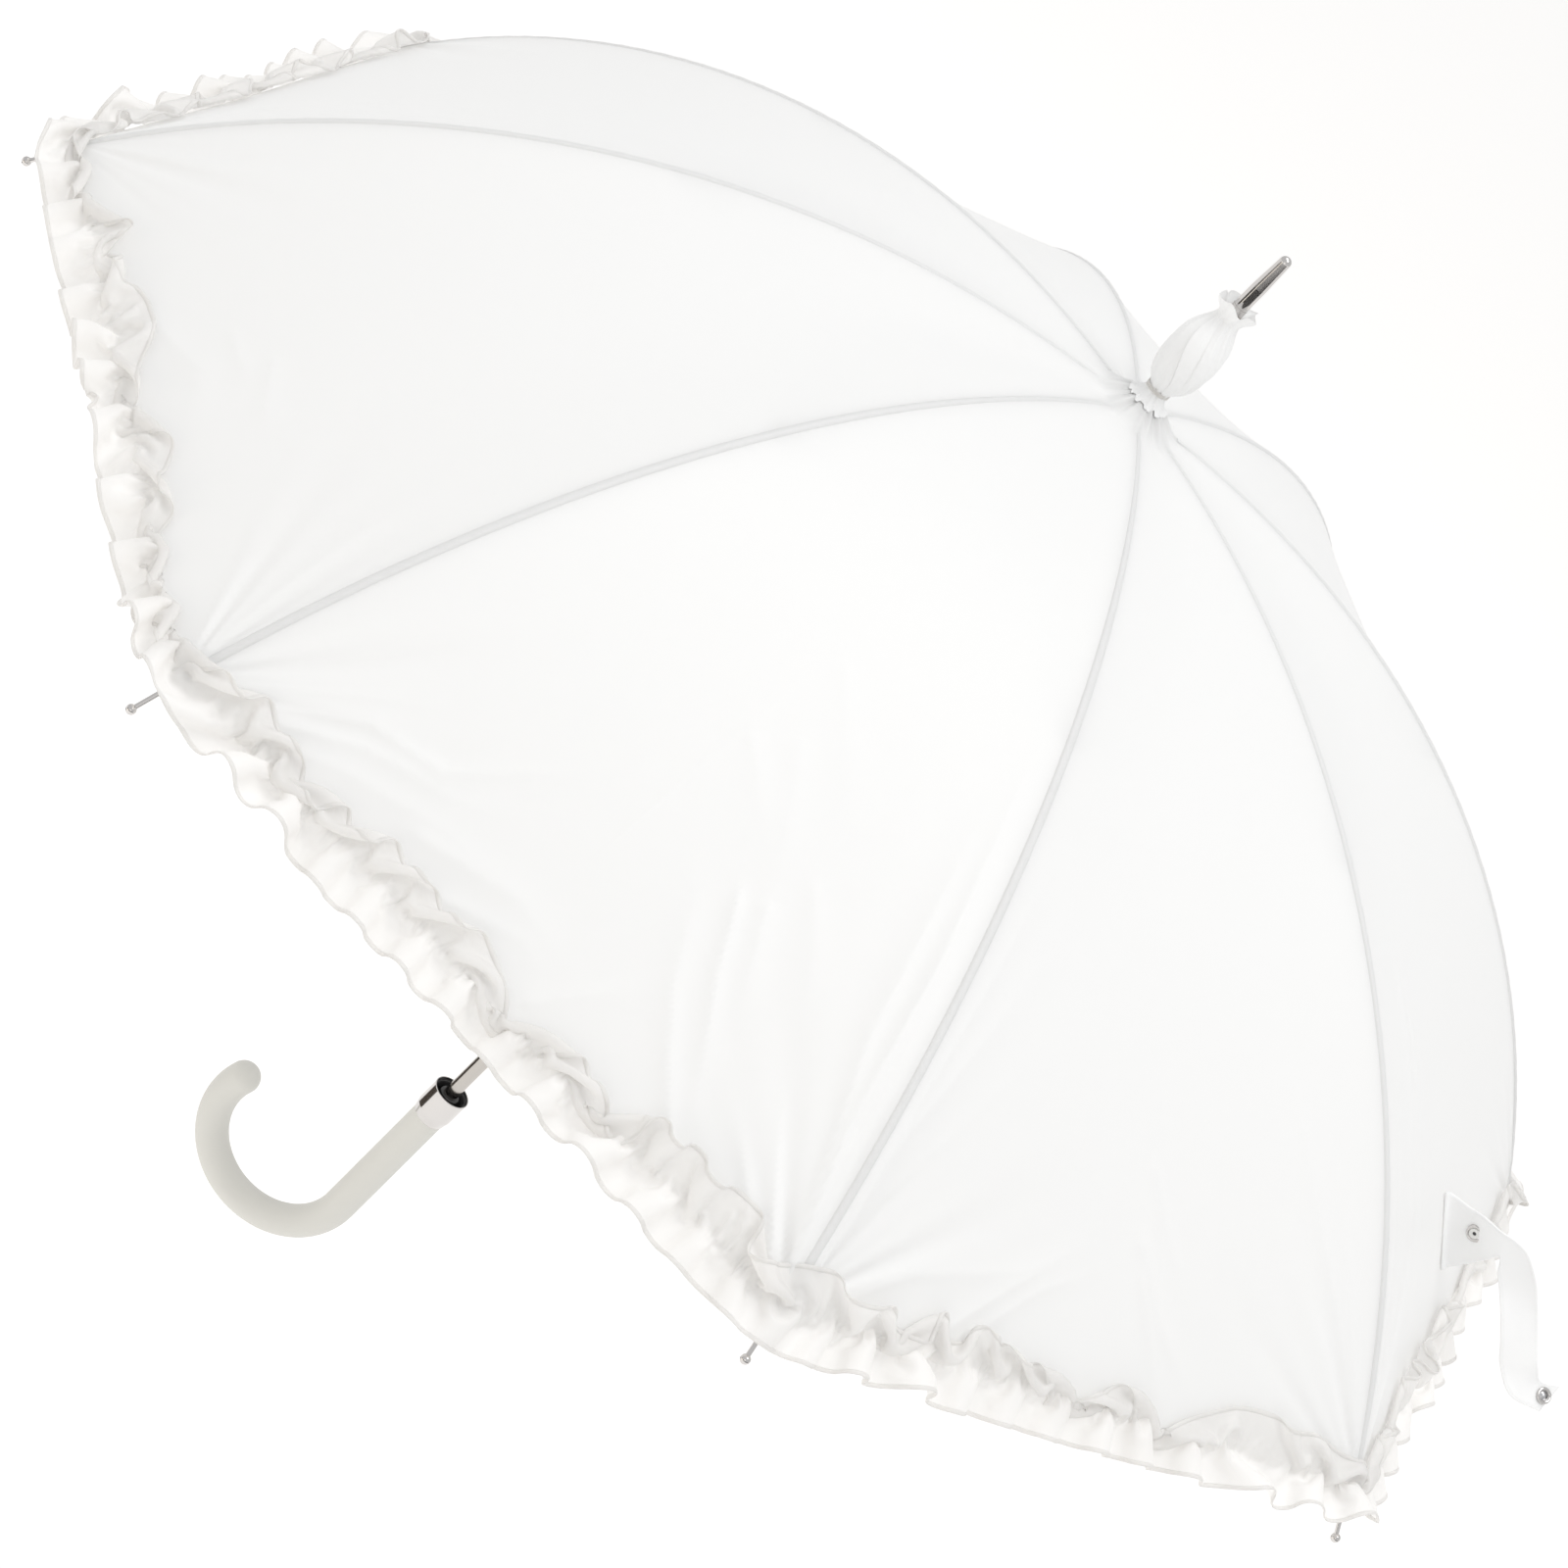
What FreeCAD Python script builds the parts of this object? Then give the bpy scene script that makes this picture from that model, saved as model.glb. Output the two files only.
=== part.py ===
import FreeCAD, Part
import math
import os

# Walking parasol, open. Millimetres. +Z runs up the shaft from the grip, where the origin is.
# Rib 1 stands at +X and the ribs follow every 45 degrees.

V = FreeCAD.Vector
doc = FreeCAD.newDocument("parasol")

size = {
    # heights above the grip point
    "crown_height": 590.0,
    "shaft_foot": -2.0,
    "shaft_head": 656.0,
    "ferrule_foot": 640.0,
    "sleeve_foot": 593.0,
    "tie_height": 604.0,
    "handle_head": 47.0,
    "cup_foot": 43.0,
    "cup_head": 62.6,
    "insert_head": 60.6,
    "insert_floor": 52.0,
    "crook_height": -37.0,
    # turned parts
    "shaft_radius": 4.0,
    "shaft_bore": 3.5,
    "collar_radius": 3.95,
    "collar_height": 3.0,
    "ferrule_radius": 3.75,
    "ferrule_tip_radius": 3.0,
    "ferrule_straight": 12.0,
    "ferrule_taper": 17.0,
    "handle_radius": 9.0,
    "crook_radius": 42.5,
    "crook_sweep": 196.6,
    "crook_turn": 338.4,
    "bore_depth": 50.0,
    "cup_radius": 10.45,
    "cup_wall": 0.6,
    "insert_radius": 9.75,
    "insert_sleeve": 5.6,
    "insert_well": 8.9,
    # rib line: slope below the horizontal, in degrees, along the rib
    "crown_radius": 5.5,
    "rib_length": 534.7,
    "crown_slope": -1.7,
    "slope_gain": 59.1,
    "slope_trim": -2.15,
    # ribs, all drops measured square to the outside of the cloth
    "rib_width": 3.0,
    "rib_wall": 0.5,
    "rib_top": 1.7,
    "rib_foot": 4.1,
    "rib_centre": 2.9,
    "blade_width": 1.6,
    "eye_radius": 1.7,
    "pivot_bore": 0.66,
    "wire_radius": 0.6,
    "pivot_circle": 6.5,
    "joint_station": 0.44,
    "rivet_radius": 0.7,
    "rivet_bore": 0.76,
    "rivet_length": 4.9,
    "fork_width": 4.4,
    "fork_gap": 3.2,
    "fork_radius": 1.6,
    "bar_width": 2.4,
    "tip_radius": 1.1,
    "tip_plug": 0.6,
    "ball_radius": 2.3,
    # notch, runner and catches
    "notch_radius": 9.0,
    "slot_width": 2.0,
    "slot_root": 4.7,
    "runner_bore": 4.06,
    "runner_radius": 5.0,
    "runner_length": 46.0,
    "runner_foot_radius": 7.0,
    "stop_radius": 1.0,
    "stop_length": 10.0,
    "catch_width": 1.0,
    "catch_slot": 1.3,
    "catch_pin": 0.4,
    # cloth
    "cloth_thickness": 0.6,
    "seam_gap": 0.2,
    "frill_rise": 5.0,
    "strap_thickness": 1.0,
    "stud_radius": 4.2,
    "stud_height": 1.6,
}

sheet = doc.addObject("Spreadsheet::Sheet", "Sizes")
for row, (word, number) in enumerate(size.items(), start=1):
    sheet.set("A%d" % row, word)
    sheet.set("B%d" % row, str(number))
    sheet.setAlias("B%d" % row, word)
doc.recompute()

RIBS = 8
STEP = 360.0 / RIBS
nodes = []


def keep(thing, name):
    """Name a finished sub-part and add it to the ones that are exported."""
    thing.Label = name
    nodes.append(thing)
    return thing


def bind(thing, **rules):
    """Tie properties to the sheet; a double underscore stands for a dot."""
    for key, rule in rules.items():
        thing.setExpression(key.replace("__", "."), rule)
    return thing


# ---------------------------------------------------------------- Part primitives


def cylinder(name, radius, height, foot):
    rod = doc.addObject("Part::Cylinder", name)
    return bind(rod, Radius=radius, Height=height, Placement__Base__z=foot)


def cone(name, low_radius, high_radius, height, foot):
    taper = doc.addObject("Part::Cone", name)
    return bind(taper, Radius1=low_radius, Radius2=high_radius, Height=height,
                Placement__Base__z=foot)


def ball(name, radius, centre):
    sphere = doc.addObject("Part::Sphere", name)
    return bind(sphere, Radius=radius, Placement__Base__z=centre)


def box(name, length, width, height, x, y, z):
    block = doc.addObject("Part::Box", name)
    return bind(block, Length=length, Width=width, Height=height, Placement__Base__x=x,
                Placement__Base__y=y, Placement__Base__z=z)


def cross_pin(name, radius, length, x, z):
    """A rod along Y, centred on the XZ plane."""
    rod = doc.addObject("Part::Cylinder", name)
    rod.Placement.Rotation = FreeCAD.Rotation(V(1, 0, 0), 90)
    return bind(rod, Radius=radius, Height=length, Placement__Base__x=x,
                Placement__Base__y="(%s) / 2" % length, Placement__Base__z=z)


def fuse(name, things):
    whole = doc.addObject("Part::MultiFuse", name)
    whole.Shapes = things
    whole.Refine = True
    return whole


def cut(name, thing, tool):
    rest = doc.addObject("Part::Cut", name)
    rest.Base = thing
    rest.Tool = tool
    rest.Refine = True
    return rest


# ---------------------------------------------------------------- PartDesign helpers


def new_body(name, turn=0.0, height="Sizes.crown_height"):
    """A body turned about the shaft and lifted to the given height."""
    body = doc.addObject("PartDesign::Body", name)
    body.Placement.Rotation = FreeCAD.Rotation(V(0, 0, 1), turn)
    bind(body, Placement__Base__z=height)
    return keep(body, name)


def new_sketch(body, name, role):
    sketch = body.newObject("Sketcher::SketchObject", name)
    for plane in body.Origin.OriginFeatures:
        if plane.Role == role:
            sketch.AttachmentSupport = [(plane, "")]
    sketch.MapMode = "FlatFace"
    return sketch


def draw_path(sketch, points):
    """Close a loop of straight lines; a pair of points stands for an arc: its middle, its end."""
    flat = [V(p[0], p[1], 0) if not isinstance(p[0], tuple) else p for p in points]
    here = flat[0]
    for item in flat[1:] + [flat[0]]:
        if isinstance(item, tuple):
            middle = V(item[0][0], item[0][1], 0)
            there = V(item[1][0], item[1][1], 0)
            sketch.addGeometry(Part.Arc(here, middle, there), False)
        else:
            there = item
            if there.distanceToPoint(here) > 1e-6:
                sketch.addGeometry(Part.LineSegment(here, there), False)
        here = there


def draw_circle(sketch, centre, radius):
    sketch.addGeometry(Part.Circle(V(centre[0], centre[1], 0), V(0, 0, 1), radius), False)


def pad(body, sketch, name, length):
    made = body.newObject("PartDesign::Pad", name)
    made.Profile = sketch
    made.SideType = "Symmetric"
    sketch.Visibility = False
    return bind(made, Length=length)


def pocket(body, sketch, name, length):
    made = body.newObject("PartDesign::Pocket", name)
    made.Profile = sketch
    made.SideType = "Symmetric"
    sketch.Visibility = False
    return bind(made, Length=length)


def revolve(body, sketch, name):
    made = body.newObject("PartDesign::Revolution", name)
    made.Profile = sketch
    made.ReferenceAxis = (sketch, ["V_Axis"])
    made.Angle = 360.0
    return made


# ---------------------------------------------------------------- the line of a rib


def slope(station):
    """Slope of the rib line below the horizontal, in radians."""
    degrees = (size["crown_slope"] + size["slope_gain"] * station
               + size["slope_trim"] * station * station)
    return math.radians(degrees)


def rib_line(station, drop=0.0):
    """Radius and height of the rib line from the crown, dropped square to the cloth."""
    steps = 40
    radius = size["crown_radius"]
    height = 0.0
    part = station / steps
    for i in range(steps):
        turn = slope((i + 0.5) * part)
        radius += size["rib_length"] * part * math.cos(turn)
        height -= size["rib_length"] * part * math.sin(turn)
    turn = slope(station)
    return (radius - drop * math.sin(turn), height - drop * math.cos(turn))


def band(first, last, top, foot, pieces):
    """Outline between two drops of the rib line, from one station to another, in arcs."""
    gap = (last - first) / pieces
    outline = [rib_line(first, top)]
    for i in range(pieces):
        outline.append((rib_line(first + (i + 0.5) * gap, top),
                        rib_line(first + (i + 1.0) * gap, top)))
    outline.append(rib_line(last, foot))
    for i in range(pieces):
        outline.append((rib_line(last - (i + 0.5) * gap, foot),
                        rib_line(last - (i + 1.0) * gap, foot)))
    return outline


hinge = (size["pivot_circle"], -size["rib_centre"])
joint = rib_line(size["joint_station"], size["rib_centre"])
link_length = math.dist(hinge, joint)
# the stretcher is as long as the rib from its hinge to the joint, so the runner's pivot
# stands straight below the notch's
runner_pivot = (hinge[0], 2.0 * joint[1] - hinge[1])

# ---------------------------------------------------------------- shaft, stop and catches

# height of the runner's pivot above the grip, open, and where its tube ends
runner_height = size["crown_height"] + runner_pivot[1]
RUNNER_ABOVE = 6.0
RUNNER_BELOW = size["runner_length"] - RUNNER_ABOVE
CATCH_LENGTH = 18.0
top_catch_head = runner_height - RUNNER_BELOW - 0.3
# folded, the rib has swung by this much
FOLD_DEGREES = 62.4


def swing(point, degrees):
    """Turn a point of the rib's plane about the rib's hinge, downwards."""
    turn = math.radians(-degrees)
    x = point[0] - hinge[0]
    z = point[1] - hinge[1]
    return (hinge[0] + x * math.cos(turn) - z * math.sin(turn),
            hinge[1] + x * math.sin(turn) + z * math.cos(turn))


folded_joint = swing(joint, FOLD_DEGREES)
folded_runner = size["crown_height"] + 2.0 * folded_joint[1] - hinge[1]
bottom_catch_foot = folded_runner + RUNNER_ABOVE + 0.3

for word, number in (("runner_height", runner_height), ("top_catch_head", top_catch_head),
                     ("bottom_catch_foot", bottom_catch_foot), ("catch_length", CATCH_LENGTH),
                     ("runner_above", RUNNER_ABOVE)):
    row += 1
    sheet.set("A%d" % row, word)
    sheet.set("B%d" % row, "%.4f" % number)
    sheet.setAlias("B%d" % row, word)
doc.recompute()

CATCH_PIVOT_X = 2.0
tube_outer = cylinder("tube_outer", "Sizes.shaft_radius", "Sizes.shaft_head - Sizes.shaft_foot",
                      "Sizes.shaft_foot")
tube_bore = cylinder("tube_bore", "Sizes.shaft_bore", "Sizes.shaft_head - Sizes.shaft_foot",
                     "Sizes.shaft_foot")
top_slot = box("top_slot", "5", "Sizes.catch_slot", "Sizes.catch_length + 1", "0.5",
               "-Sizes.catch_slot / 2", "Sizes.top_catch_head - Sizes.catch_length - 0.5")
bottom_slot = box("bottom_slot", "5", "Sizes.catch_slot", "Sizes.catch_length + 1", "0.5",
                  "-Sizes.catch_slot / 2", "Sizes.bottom_catch_foot - 0.5")
stop_hole = cross_pin("stop_hole", "Sizes.stop_radius", "Sizes.stop_length", "0",
                      "Sizes.runner_height + Sizes.runner_above + Sizes.stop_radius + 0.1")
tube = cut("tube", tube_outer, fuse("tube_cuts", [tube_bore, top_slot, bottom_slot, stop_hole]))
top_pivot = cross_pin("top_pivot", "Sizes.catch_pin", "6.2", str(CATCH_PIVOT_X),
                      "Sizes.top_catch_head - Sizes.catch_length + 2")
bottom_pivot = cross_pin("bottom_pivot", "Sizes.catch_pin", "6.2", str(CATCH_PIVOT_X),
                         "Sizes.bottom_catch_foot + Sizes.catch_length - 2")
keep(fuse("shaft_with_pins", [tube, top_pivot, bottom_pivot]), "shaft_tube")

keep(cross_pin("stop_pin", "Sizes.stop_radius", "Sizes.stop_length", "0",
               "Sizes.runner_height + Sizes.runner_above + Sizes.stop_radius + 0.1"),
     "runner_stop")


def make_catch(name, foot_word, upward):
    """A sprung wedge in the shaft's slot: flat towards the runner, sloped away from it."""
    body = new_body(name, 0.0, foot_word)
    face = new_sketch(body, name + "_face", "XZ_Plane")
    wedge = [(1.2, 0.8), (3.3, 0.0), (3.8, 2.0), (6.0, CATCH_LENGTH - 1.0),
             (6.0, CATCH_LENGTH), (2.0, CATCH_LENGTH), (1.6, CATCH_LENGTH - 2.0), (1.2, 4.0)]
    if not upward:
        wedge = [(x, CATCH_LENGTH - z) for x, z in wedge]
    draw_path(face, wedge)
    pad(body, face, name + "_plate", "Sizes.catch_width")
    hole = new_sketch(body, name + "_hole_face", "XZ_Plane")
    pivot_z = 2.0 if upward else CATCH_LENGTH - 2.0
    draw_circle(hole, (CATCH_PIVOT_X, pivot_z), size["catch_pin"] + 0.06)
    pocket(body, hole, name + "_hole", "Sizes.catch_width + 1")


make_catch("top_catch", "Sizes.top_catch_head - Sizes.catch_length", True)
make_catch("bottom_catch", "Sizes.bottom_catch_foot", False)

# ---------------------------------------------------------------- ferrule

plug = cylinder("ferrule_plug", "Sizes.shaft_bore", "Sizes.shaft_head - Sizes.ferrule_foot",
                "Sizes.ferrule_foot")
collar = cylinder("ferrule_collar", "Sizes.collar_radius", "Sizes.collar_height",
                  "Sizes.shaft_head")
straight = cylinder("ferrule_body", "Sizes.ferrule_radius", "Sizes.ferrule_straight",
                    "Sizes.shaft_head + Sizes.collar_height")
taper = cone("ferrule_cone", "Sizes.ferrule_radius", "Sizes.ferrule_tip_radius",
             "Sizes.ferrule_taper",
             "Sizes.shaft_head + Sizes.collar_height + Sizes.ferrule_straight")
nose = ball("ferrule_nose", "Sizes.ferrule_tip_radius",
            "Sizes.shaft_head + Sizes.collar_height + Sizes.ferrule_straight"
            " + Sizes.ferrule_taper")
keep(fuse("ferrule_whole", [plug, collar, straight, taper, nose]), "ferrule")

# ---------------------------------------------------------------- notch, runner, wires


def slotted_ring(name, head, foot, groove_floor, height, tube_foot=None):
    """A ring on the shaft with a slot for each rib or stretcher and a groove for the wire."""
    bore = size["runner_bore"] if tube_foot is not None else size["shaft_radius"]
    body = new_body(name, 0.0, height)
    ring = new_sketch(body, name + "_ring", "XZ_Plane")
    outline = [(bore, head), (size["notch_radius"], head), (size["notch_radius"], foot)]
    if tube_foot is None:
        outline += [(bore, foot)]
    else:
        outline += [(size["runner_radius"], foot - 4.0),
                    (size["runner_radius"], tube_foot + 5.0),
                    (size["runner_foot_radius"], tube_foot + 3.0),
                    (size["runner_foot_radius"], tube_foot),
                    (bore, tube_foot)]
    draw_path(ring, outline)
    revolve(body, ring, name + "_turned")
    groove = new_sketch(body, name + "_groove", "XZ_Plane")
    inner = size["pivot_circle"] - 0.68
    outer = size["pivot_circle"] / math.cos(math.pi / RIBS) + 0.7
    draw_path(groove, [(inner, head + 1.0), (outer, head + 1.0), (outer, groove_floor),
                       (inner, groove_floor)])
    trench = body.newObject("PartDesign::Groove", name + "_trench")
    trench.Profile = groove
    trench.ReferenceAxis = (groove, ["V_Axis"])
    trench.Angle = 360.0
    slot = new_sketch(body, name + "_slot", "XY_Plane")
    half = size["slot_width"] / 2.0
    reach = size["notch_radius"] + 2.0
    draw_path(slot, [(size["slot_root"], -half), (reach, -half), (reach, half),
                     (size["slot_root"], half)])
    opened = pocket(body, slot, name + "_open", str(2.0 * max(head, -foot) + 2.0))
    turns = body.newObject("PartDesign::PolarPattern", name + "_turns")
    turns.Originals = [opened]
    turns.Axis = (slot, ["N_Axis"])
    turns.Angle = 360.0
    turns.Occurrences = RIBS
    body.Tip = turns
    return body


NOTCH_HEAD = -0.3
NOTCH_FOOT = -6.4
slotted_ring("top_notch", NOTCH_HEAD, NOTCH_FOOT, hinge[1] - size["wire_radius"] - 0.04,
             "Sizes.crown_height")
slotted_ring("runner", RUNNER_ABOVE, -4.0, -size["wire_radius"] - 0.04,
             "Sizes.runner_height", -RUNNER_BELOW)


def pivot_wire(name, height):
    """An eight-sided wire whose flats cross the slots."""
    body = new_body(name, 0.0, height)
    loop = new_sketch(body, name + "_loop", "XY_Plane")
    apothem = size["pivot_circle"]
    bend = 0.8
    corners = []
    for i in range(RIBS):
        turn = math.radians((i + 0.5) * STEP)
        reach = apothem / math.cos(math.pi / RIBS)
        corners.append(V(reach * math.cos(turn), reach * math.sin(turn), 0))
    for i in range(RIBS):
        corner = corners[i]
        before = corners[i - 1]
        after = corners[(i + 1) % RIBS]
        start = corner + (before - corner).normalize() * bend
        end = corner + (after - corner).normalize() * bend
        inward = V(corner.x, corner.y, 0).normalize() * -1.0
        sag = bend * math.tan(math.pi / RIBS / 2.0)
        middle = (start + end) * 0.5 - inward * sag
        loop.addGeometry(Part.Arc(start, middle, end), False)
        following = after + (corner - after).normalize() * bend
        loop.addGeometry(Part.LineSegment(end, following), False)
    section = new_sketch(body, name + "_section", "XZ_Plane")
    draw_circle(section, (apothem, 0.0), size["wire_radius"])
    pipe = body.newObject("PartDesign::AdditivePipe", name + "_pipe")
    pipe.Profile = section
    pipe.Spine = (loop, [])
    return body


pivot_wire("notch_wire", "Sizes.crown_height - Sizes.rib_centre")
pivot_wire("runner_wire", "Sizes.runner_height")

# ---------------------------------------------------------------- ribs, tips, stretchers

CHANNEL_START = 0.014
CHANNEL_END = 0.968
BLADE_END = 0.03


def along(start, end, distance, offset=0.0):
    """A point on the line from start to end, moved square to it."""
    length = math.dist(start, end)
    ux = (end[0] - start[0]) / length
    uz = (end[1] - start[1]) / length
    return (start[0] + ux * distance - uz * offset, start[1] + uz * distance + ux * offset)


def strip(start, end, first, last, half):
    """A straight band along the line from start to end."""
    return [along(start, end, first, half), along(start, end, last, half),
            along(start, end, last, -half), along(start, end, first, -half)]


def make_rib(number):
    name = "rib_%d" % number
    body = new_body(name, (number - 1) * STEP)
    channel = new_sketch(body, name + "_channel", "XZ_Plane")
    draw_path(channel, band(CHANNEL_START, CHANNEL_END, size["rib_top"], size["rib_foot"], 8))
    pad(body, channel, name + "_bar", "Sizes.rib_width")
    hollow = new_sketch(body, name + "_hollow", "XZ_Plane")
    draw_path(hollow, band(CHANNEL_START - 0.004, CHANNEL_END + 0.004,
                           size["rib_top"] + size["rib_wall"], size["rib_foot"] + 0.3, 8))
    pocket(body, hollow, name + "_groove", "Sizes.rib_width - 2 * Sizes.rib_wall")
    blade = new_sketch(body, name + "_blade", "XZ_Plane")
    root = rib_line(BLADE_END, size["rib_centre"])
    draw_path(blade, strip(hinge, root, 0.0, math.dist(hinge, root), 1.2))
    pad(body, blade, name + "_tongue", "Sizes.blade_width")
    eye = new_sketch(body, name + "_eye", "XZ_Plane")
    draw_circle(eye, hinge, size["eye_radius"])
    pad(body, eye, name + "_knuckle", "Sizes.blade_width")
    holes = new_sketch(body, name + "_holes", "XZ_Plane")
    draw_circle(holes, hinge, size["pivot_bore"])
    draw_circle(holes, joint, size["rivet_bore"])
    pocket(body, holes, name + "_bores", "Sizes.rib_width + 2")


def make_tip(number):
    """A pin with a ball end, pushed into the end of the rib's channel."""
    name = "rib_tip_%d" % number
    tip = rib_line(1.0, size["rib_centre"])
    start = rib_line(CHANNEL_END, size["rib_centre"])
    length = math.dist(start, tip)
    lean = math.degrees(math.atan2(tip[0] - start[0], tip[1] - start[1]))
    pin = doc.addObject("Part::Cylinder", name + "_pin")
    bind(pin, Radius="Sizes.tip_radius")
    pin.Height = length
    stem = doc.addObject("Part::Cylinder", name + "_stem")
    bind(stem, Radius="Sizes.tip_plug")
    stem.Height = 5.0
    stem.Placement.Base = V(0, 0, -4.9)
    end = doc.addObject("Part::Sphere", name + "_ball")
    bind(end, Radius="Sizes.ball_radius")
    end.Placement.Base = V(0, 0, length)
    whole = fuse(name + "_whole", [pin, stem, end])
    turn = FreeCAD.Rotation(V(0, 0, 1), (number - 1) * STEP)
    whole.Placement = FreeCAD.Placement(
        turn.multVec(V(start[0], 0, size["crown_height"] + start[1])),
        turn.multiply(FreeCAD.Rotation(V(0, 1, 0), lean)))
    return keep(whole, name)


def make_stretcher(number):
    name = "stretcher_%d" % number
    body = new_body(name, (number - 1) * STEP)
    cheeks = new_sketch(body, name + "_cheeks", "XZ_Plane")
    draw_path(cheeks, strip(joint, runner_pivot, 0.0, 14.0, 1.3))
    pad(body, cheeks, name + "_fork", "Sizes.fork_width")
    ends = new_sketch(body, name + "_ends", "XZ_Plane")
    draw_circle(ends, joint, size["fork_radius"])
    pad(body, ends, name + "_round", "Sizes.fork_width")
    mouth = new_sketch(body, name + "_mouth", "XZ_Plane")
    draw_path(mouth, strip(joint, runner_pivot, -4.0, 11.0, 3.0))
    pocket(body, mouth, name + "_gap", "Sizes.fork_gap")
    bar = new_sketch(body, name + "_bar_face", "XZ_Plane")
    draw_path(bar, strip(joint, runner_pivot, 13.0, link_length - 8.0, 1.3))
    pad(body, bar, name + "_bar", "Sizes.bar_width")
    blade = new_sketch(body, name + "_blade", "XZ_Plane")
    draw_path(blade, strip(joint, runner_pivot, link_length - 12.0, link_length, 1.2))
    pad(body, blade, name + "_tongue", "Sizes.blade_width")
    eye = new_sketch(body, name + "_eye", "XZ_Plane")
    draw_circle(eye, runner_pivot, size["eye_radius"])
    pad(body, eye, name + "_knuckle", "Sizes.blade_width")
    hole = new_sketch(body, name + "_hole", "XZ_Plane")
    draw_circle(hole, runner_pivot, size["pivot_bore"])
    pocket(body, hole, name + "_bore", "Sizes.blade_width + 2")
    rivet = new_sketch(body, name + "_rivet_face", "XZ_Plane")
    draw_circle(rivet, joint, size["rivet_radius"])
    pad(body, rivet, name + "_rivet", "Sizes.rivet_length")


for number in range(1, RIBS + 1):
    make_rib(number)
    make_tip(number)
    make_stretcher(number)

# ---------------------------------------------------------------- cloth


def edge_line(side, station, rise):
    """A point on the rib (side 0) or on the middle of the gore beside it (side -1 or 1)."""
    radius, height = rib_line(station)
    turn = slope(station)
    if side == 0:
        return V(radius + rise * math.sin(turn), 0, height + rise * math.cos(turn))
    # the cloth runs straight from rib to rib
    middle = radius * math.cos(math.pi / RIBS)
    flat = math.cos(turn) * math.cos(math.pi / RIBS)
    steep = math.sin(turn)
    norm = math.hypot(flat, steep)
    out = middle + rise * steep / norm
    up = height + rise * flat / norm
    angle = side * math.pi / RIBS
    back = V(math.sin(angle), -math.cos(angle), 0) * side * size["seam_gap"]
    return V(out * math.cos(angle), out * math.sin(angle), up) + back


def curve_through(points):
    line = Part.BSplineCurve()
    line.interpolate(points)
    return line.toShape()


def closed_solid(faces):
    shell = Part.makeShell(faces)
    shell.sewShape()
    solid = Part.makeSolid(shell)
    if solid.Volume < 0:
        solid.reverse()
    return solid


def soft_sector(name, turn, rib_span, mid_span, low, high):
    """A sheet over one rib, out to the middle of the gore on both sides."""
    count = 9
    lines = {}
    for side in (-1, 0, 1):
        first, last = rib_span if side == 0 else mid_span
        for level in (low, high):
            points = []
            for i in range(count):
                points.append(edge_line(side, first + (last - first) * i / (count - 1), level))
            lines[side, level] = (curve_through(points), points)
    faces = []
    for side in (-1, 1):
        for level in (low, high):
            faces.append(Part.makeRuledSurface(lines[0, level][0], lines[side, level][0]))
        faces.append(Part.makeRuledSurface(lines[side, low][0], lines[side, high][0]))
        for end in (0, -1):
            under = Part.makeLine(lines[0, low][1][end], lines[side, low][1][end])
            over = Part.makeLine(lines[0, high][1][end], lines[side, high][1][end])
            faces.append(Part.makeRuledSurface(under, over))
    cloth = doc.addObject("Part::Feature", name)
    cloth.Shape = closed_solid(faces)
    cloth.Placement.Rotation = FreeCAD.Rotation(V(0, 0, 1), turn)
    bind(cloth, Placement__Base__z="Sizes.crown_height")
    return keep(cloth, name)


CLOTH_START = 0.022
for number in range(1, RIBS + 1):
    turn = (number - 1) * STEP
    soft_sector("canopy_%d" % number, turn, (CLOTH_START, 0.972), (CLOTH_START, 0.950),
                -size["cloth_thickness"], 0.0)
    soft_sector("frill_%d" % number, turn, (0.930, 0.985), (0.915, 0.985),
                0.35, size["frill_rise"])

# the gathered sleeve over the crown: short pleats, the tie, a spindle, a neck and a flare
sleeve = new_body("crown_sleeve", 0.0, "Sizes.sleeve_foot")
sleeve_face = new_sketch(sleeve, "sleeve_face", "XZ_Plane")
draw_path(sleeve_face, [(4.2, 0.0), (13.0, 0.0), ((8.0, 5.0), (5.4, 10.0)),
                        ((5.1, 11.0), (5.4, 12.0)), ((14.6, 32.0), (5.6, 54.0)),
                        ((7.6, 61.0), (12.0, 65.0)), (4.2, 62.0)])
revolve(sleeve, sleeve_face, "sleeve_turned")

tie = doc.addObject("Part::Torus", "tie_ring")
tie.Radius1 = 6.0
tie.Radius2 = 0.7
bind(tie, Placement__Base__z="Sizes.tie_height")
keep(tie, "sleeve_tie")


def ribbon(name, frames, thickness):
    """A thin band through frames of centre, half-width vector and face direction."""
    rails = {}
    for side in (-1, 1):
        for level in (0.0, thickness):
            rails[side, level] = [centre + half * side + face * level
                                  for centre, half, face in frames]
    faces = []
    for side in (-1, 1):
        faces.append(Part.makeRuledSurface(curve_through(rails[side, 0.0]),
                                           curve_through(rails[side, thickness])))
    for level in (0.0, thickness):
        faces.append(Part.makeRuledSurface(curve_through(rails[-1, level]),
                                           curve_through(rails[1, level])))
    for end in (0, -1):
        faces.append(Part.makeRuledSurface(
            Part.makeLine(rails[-1, 0.0][end], rails[1, 0.0][end]),
            Part.makeLine(rails[-1, thickness][end], rails[1, thickness][end])))
    made = doc.addObject("Part::Feature", name)
    made.Shape = closed_solid(faces)
    bind(made, Placement__Base__z="Sizes.crown_height")
    return keep(made, name)


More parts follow.
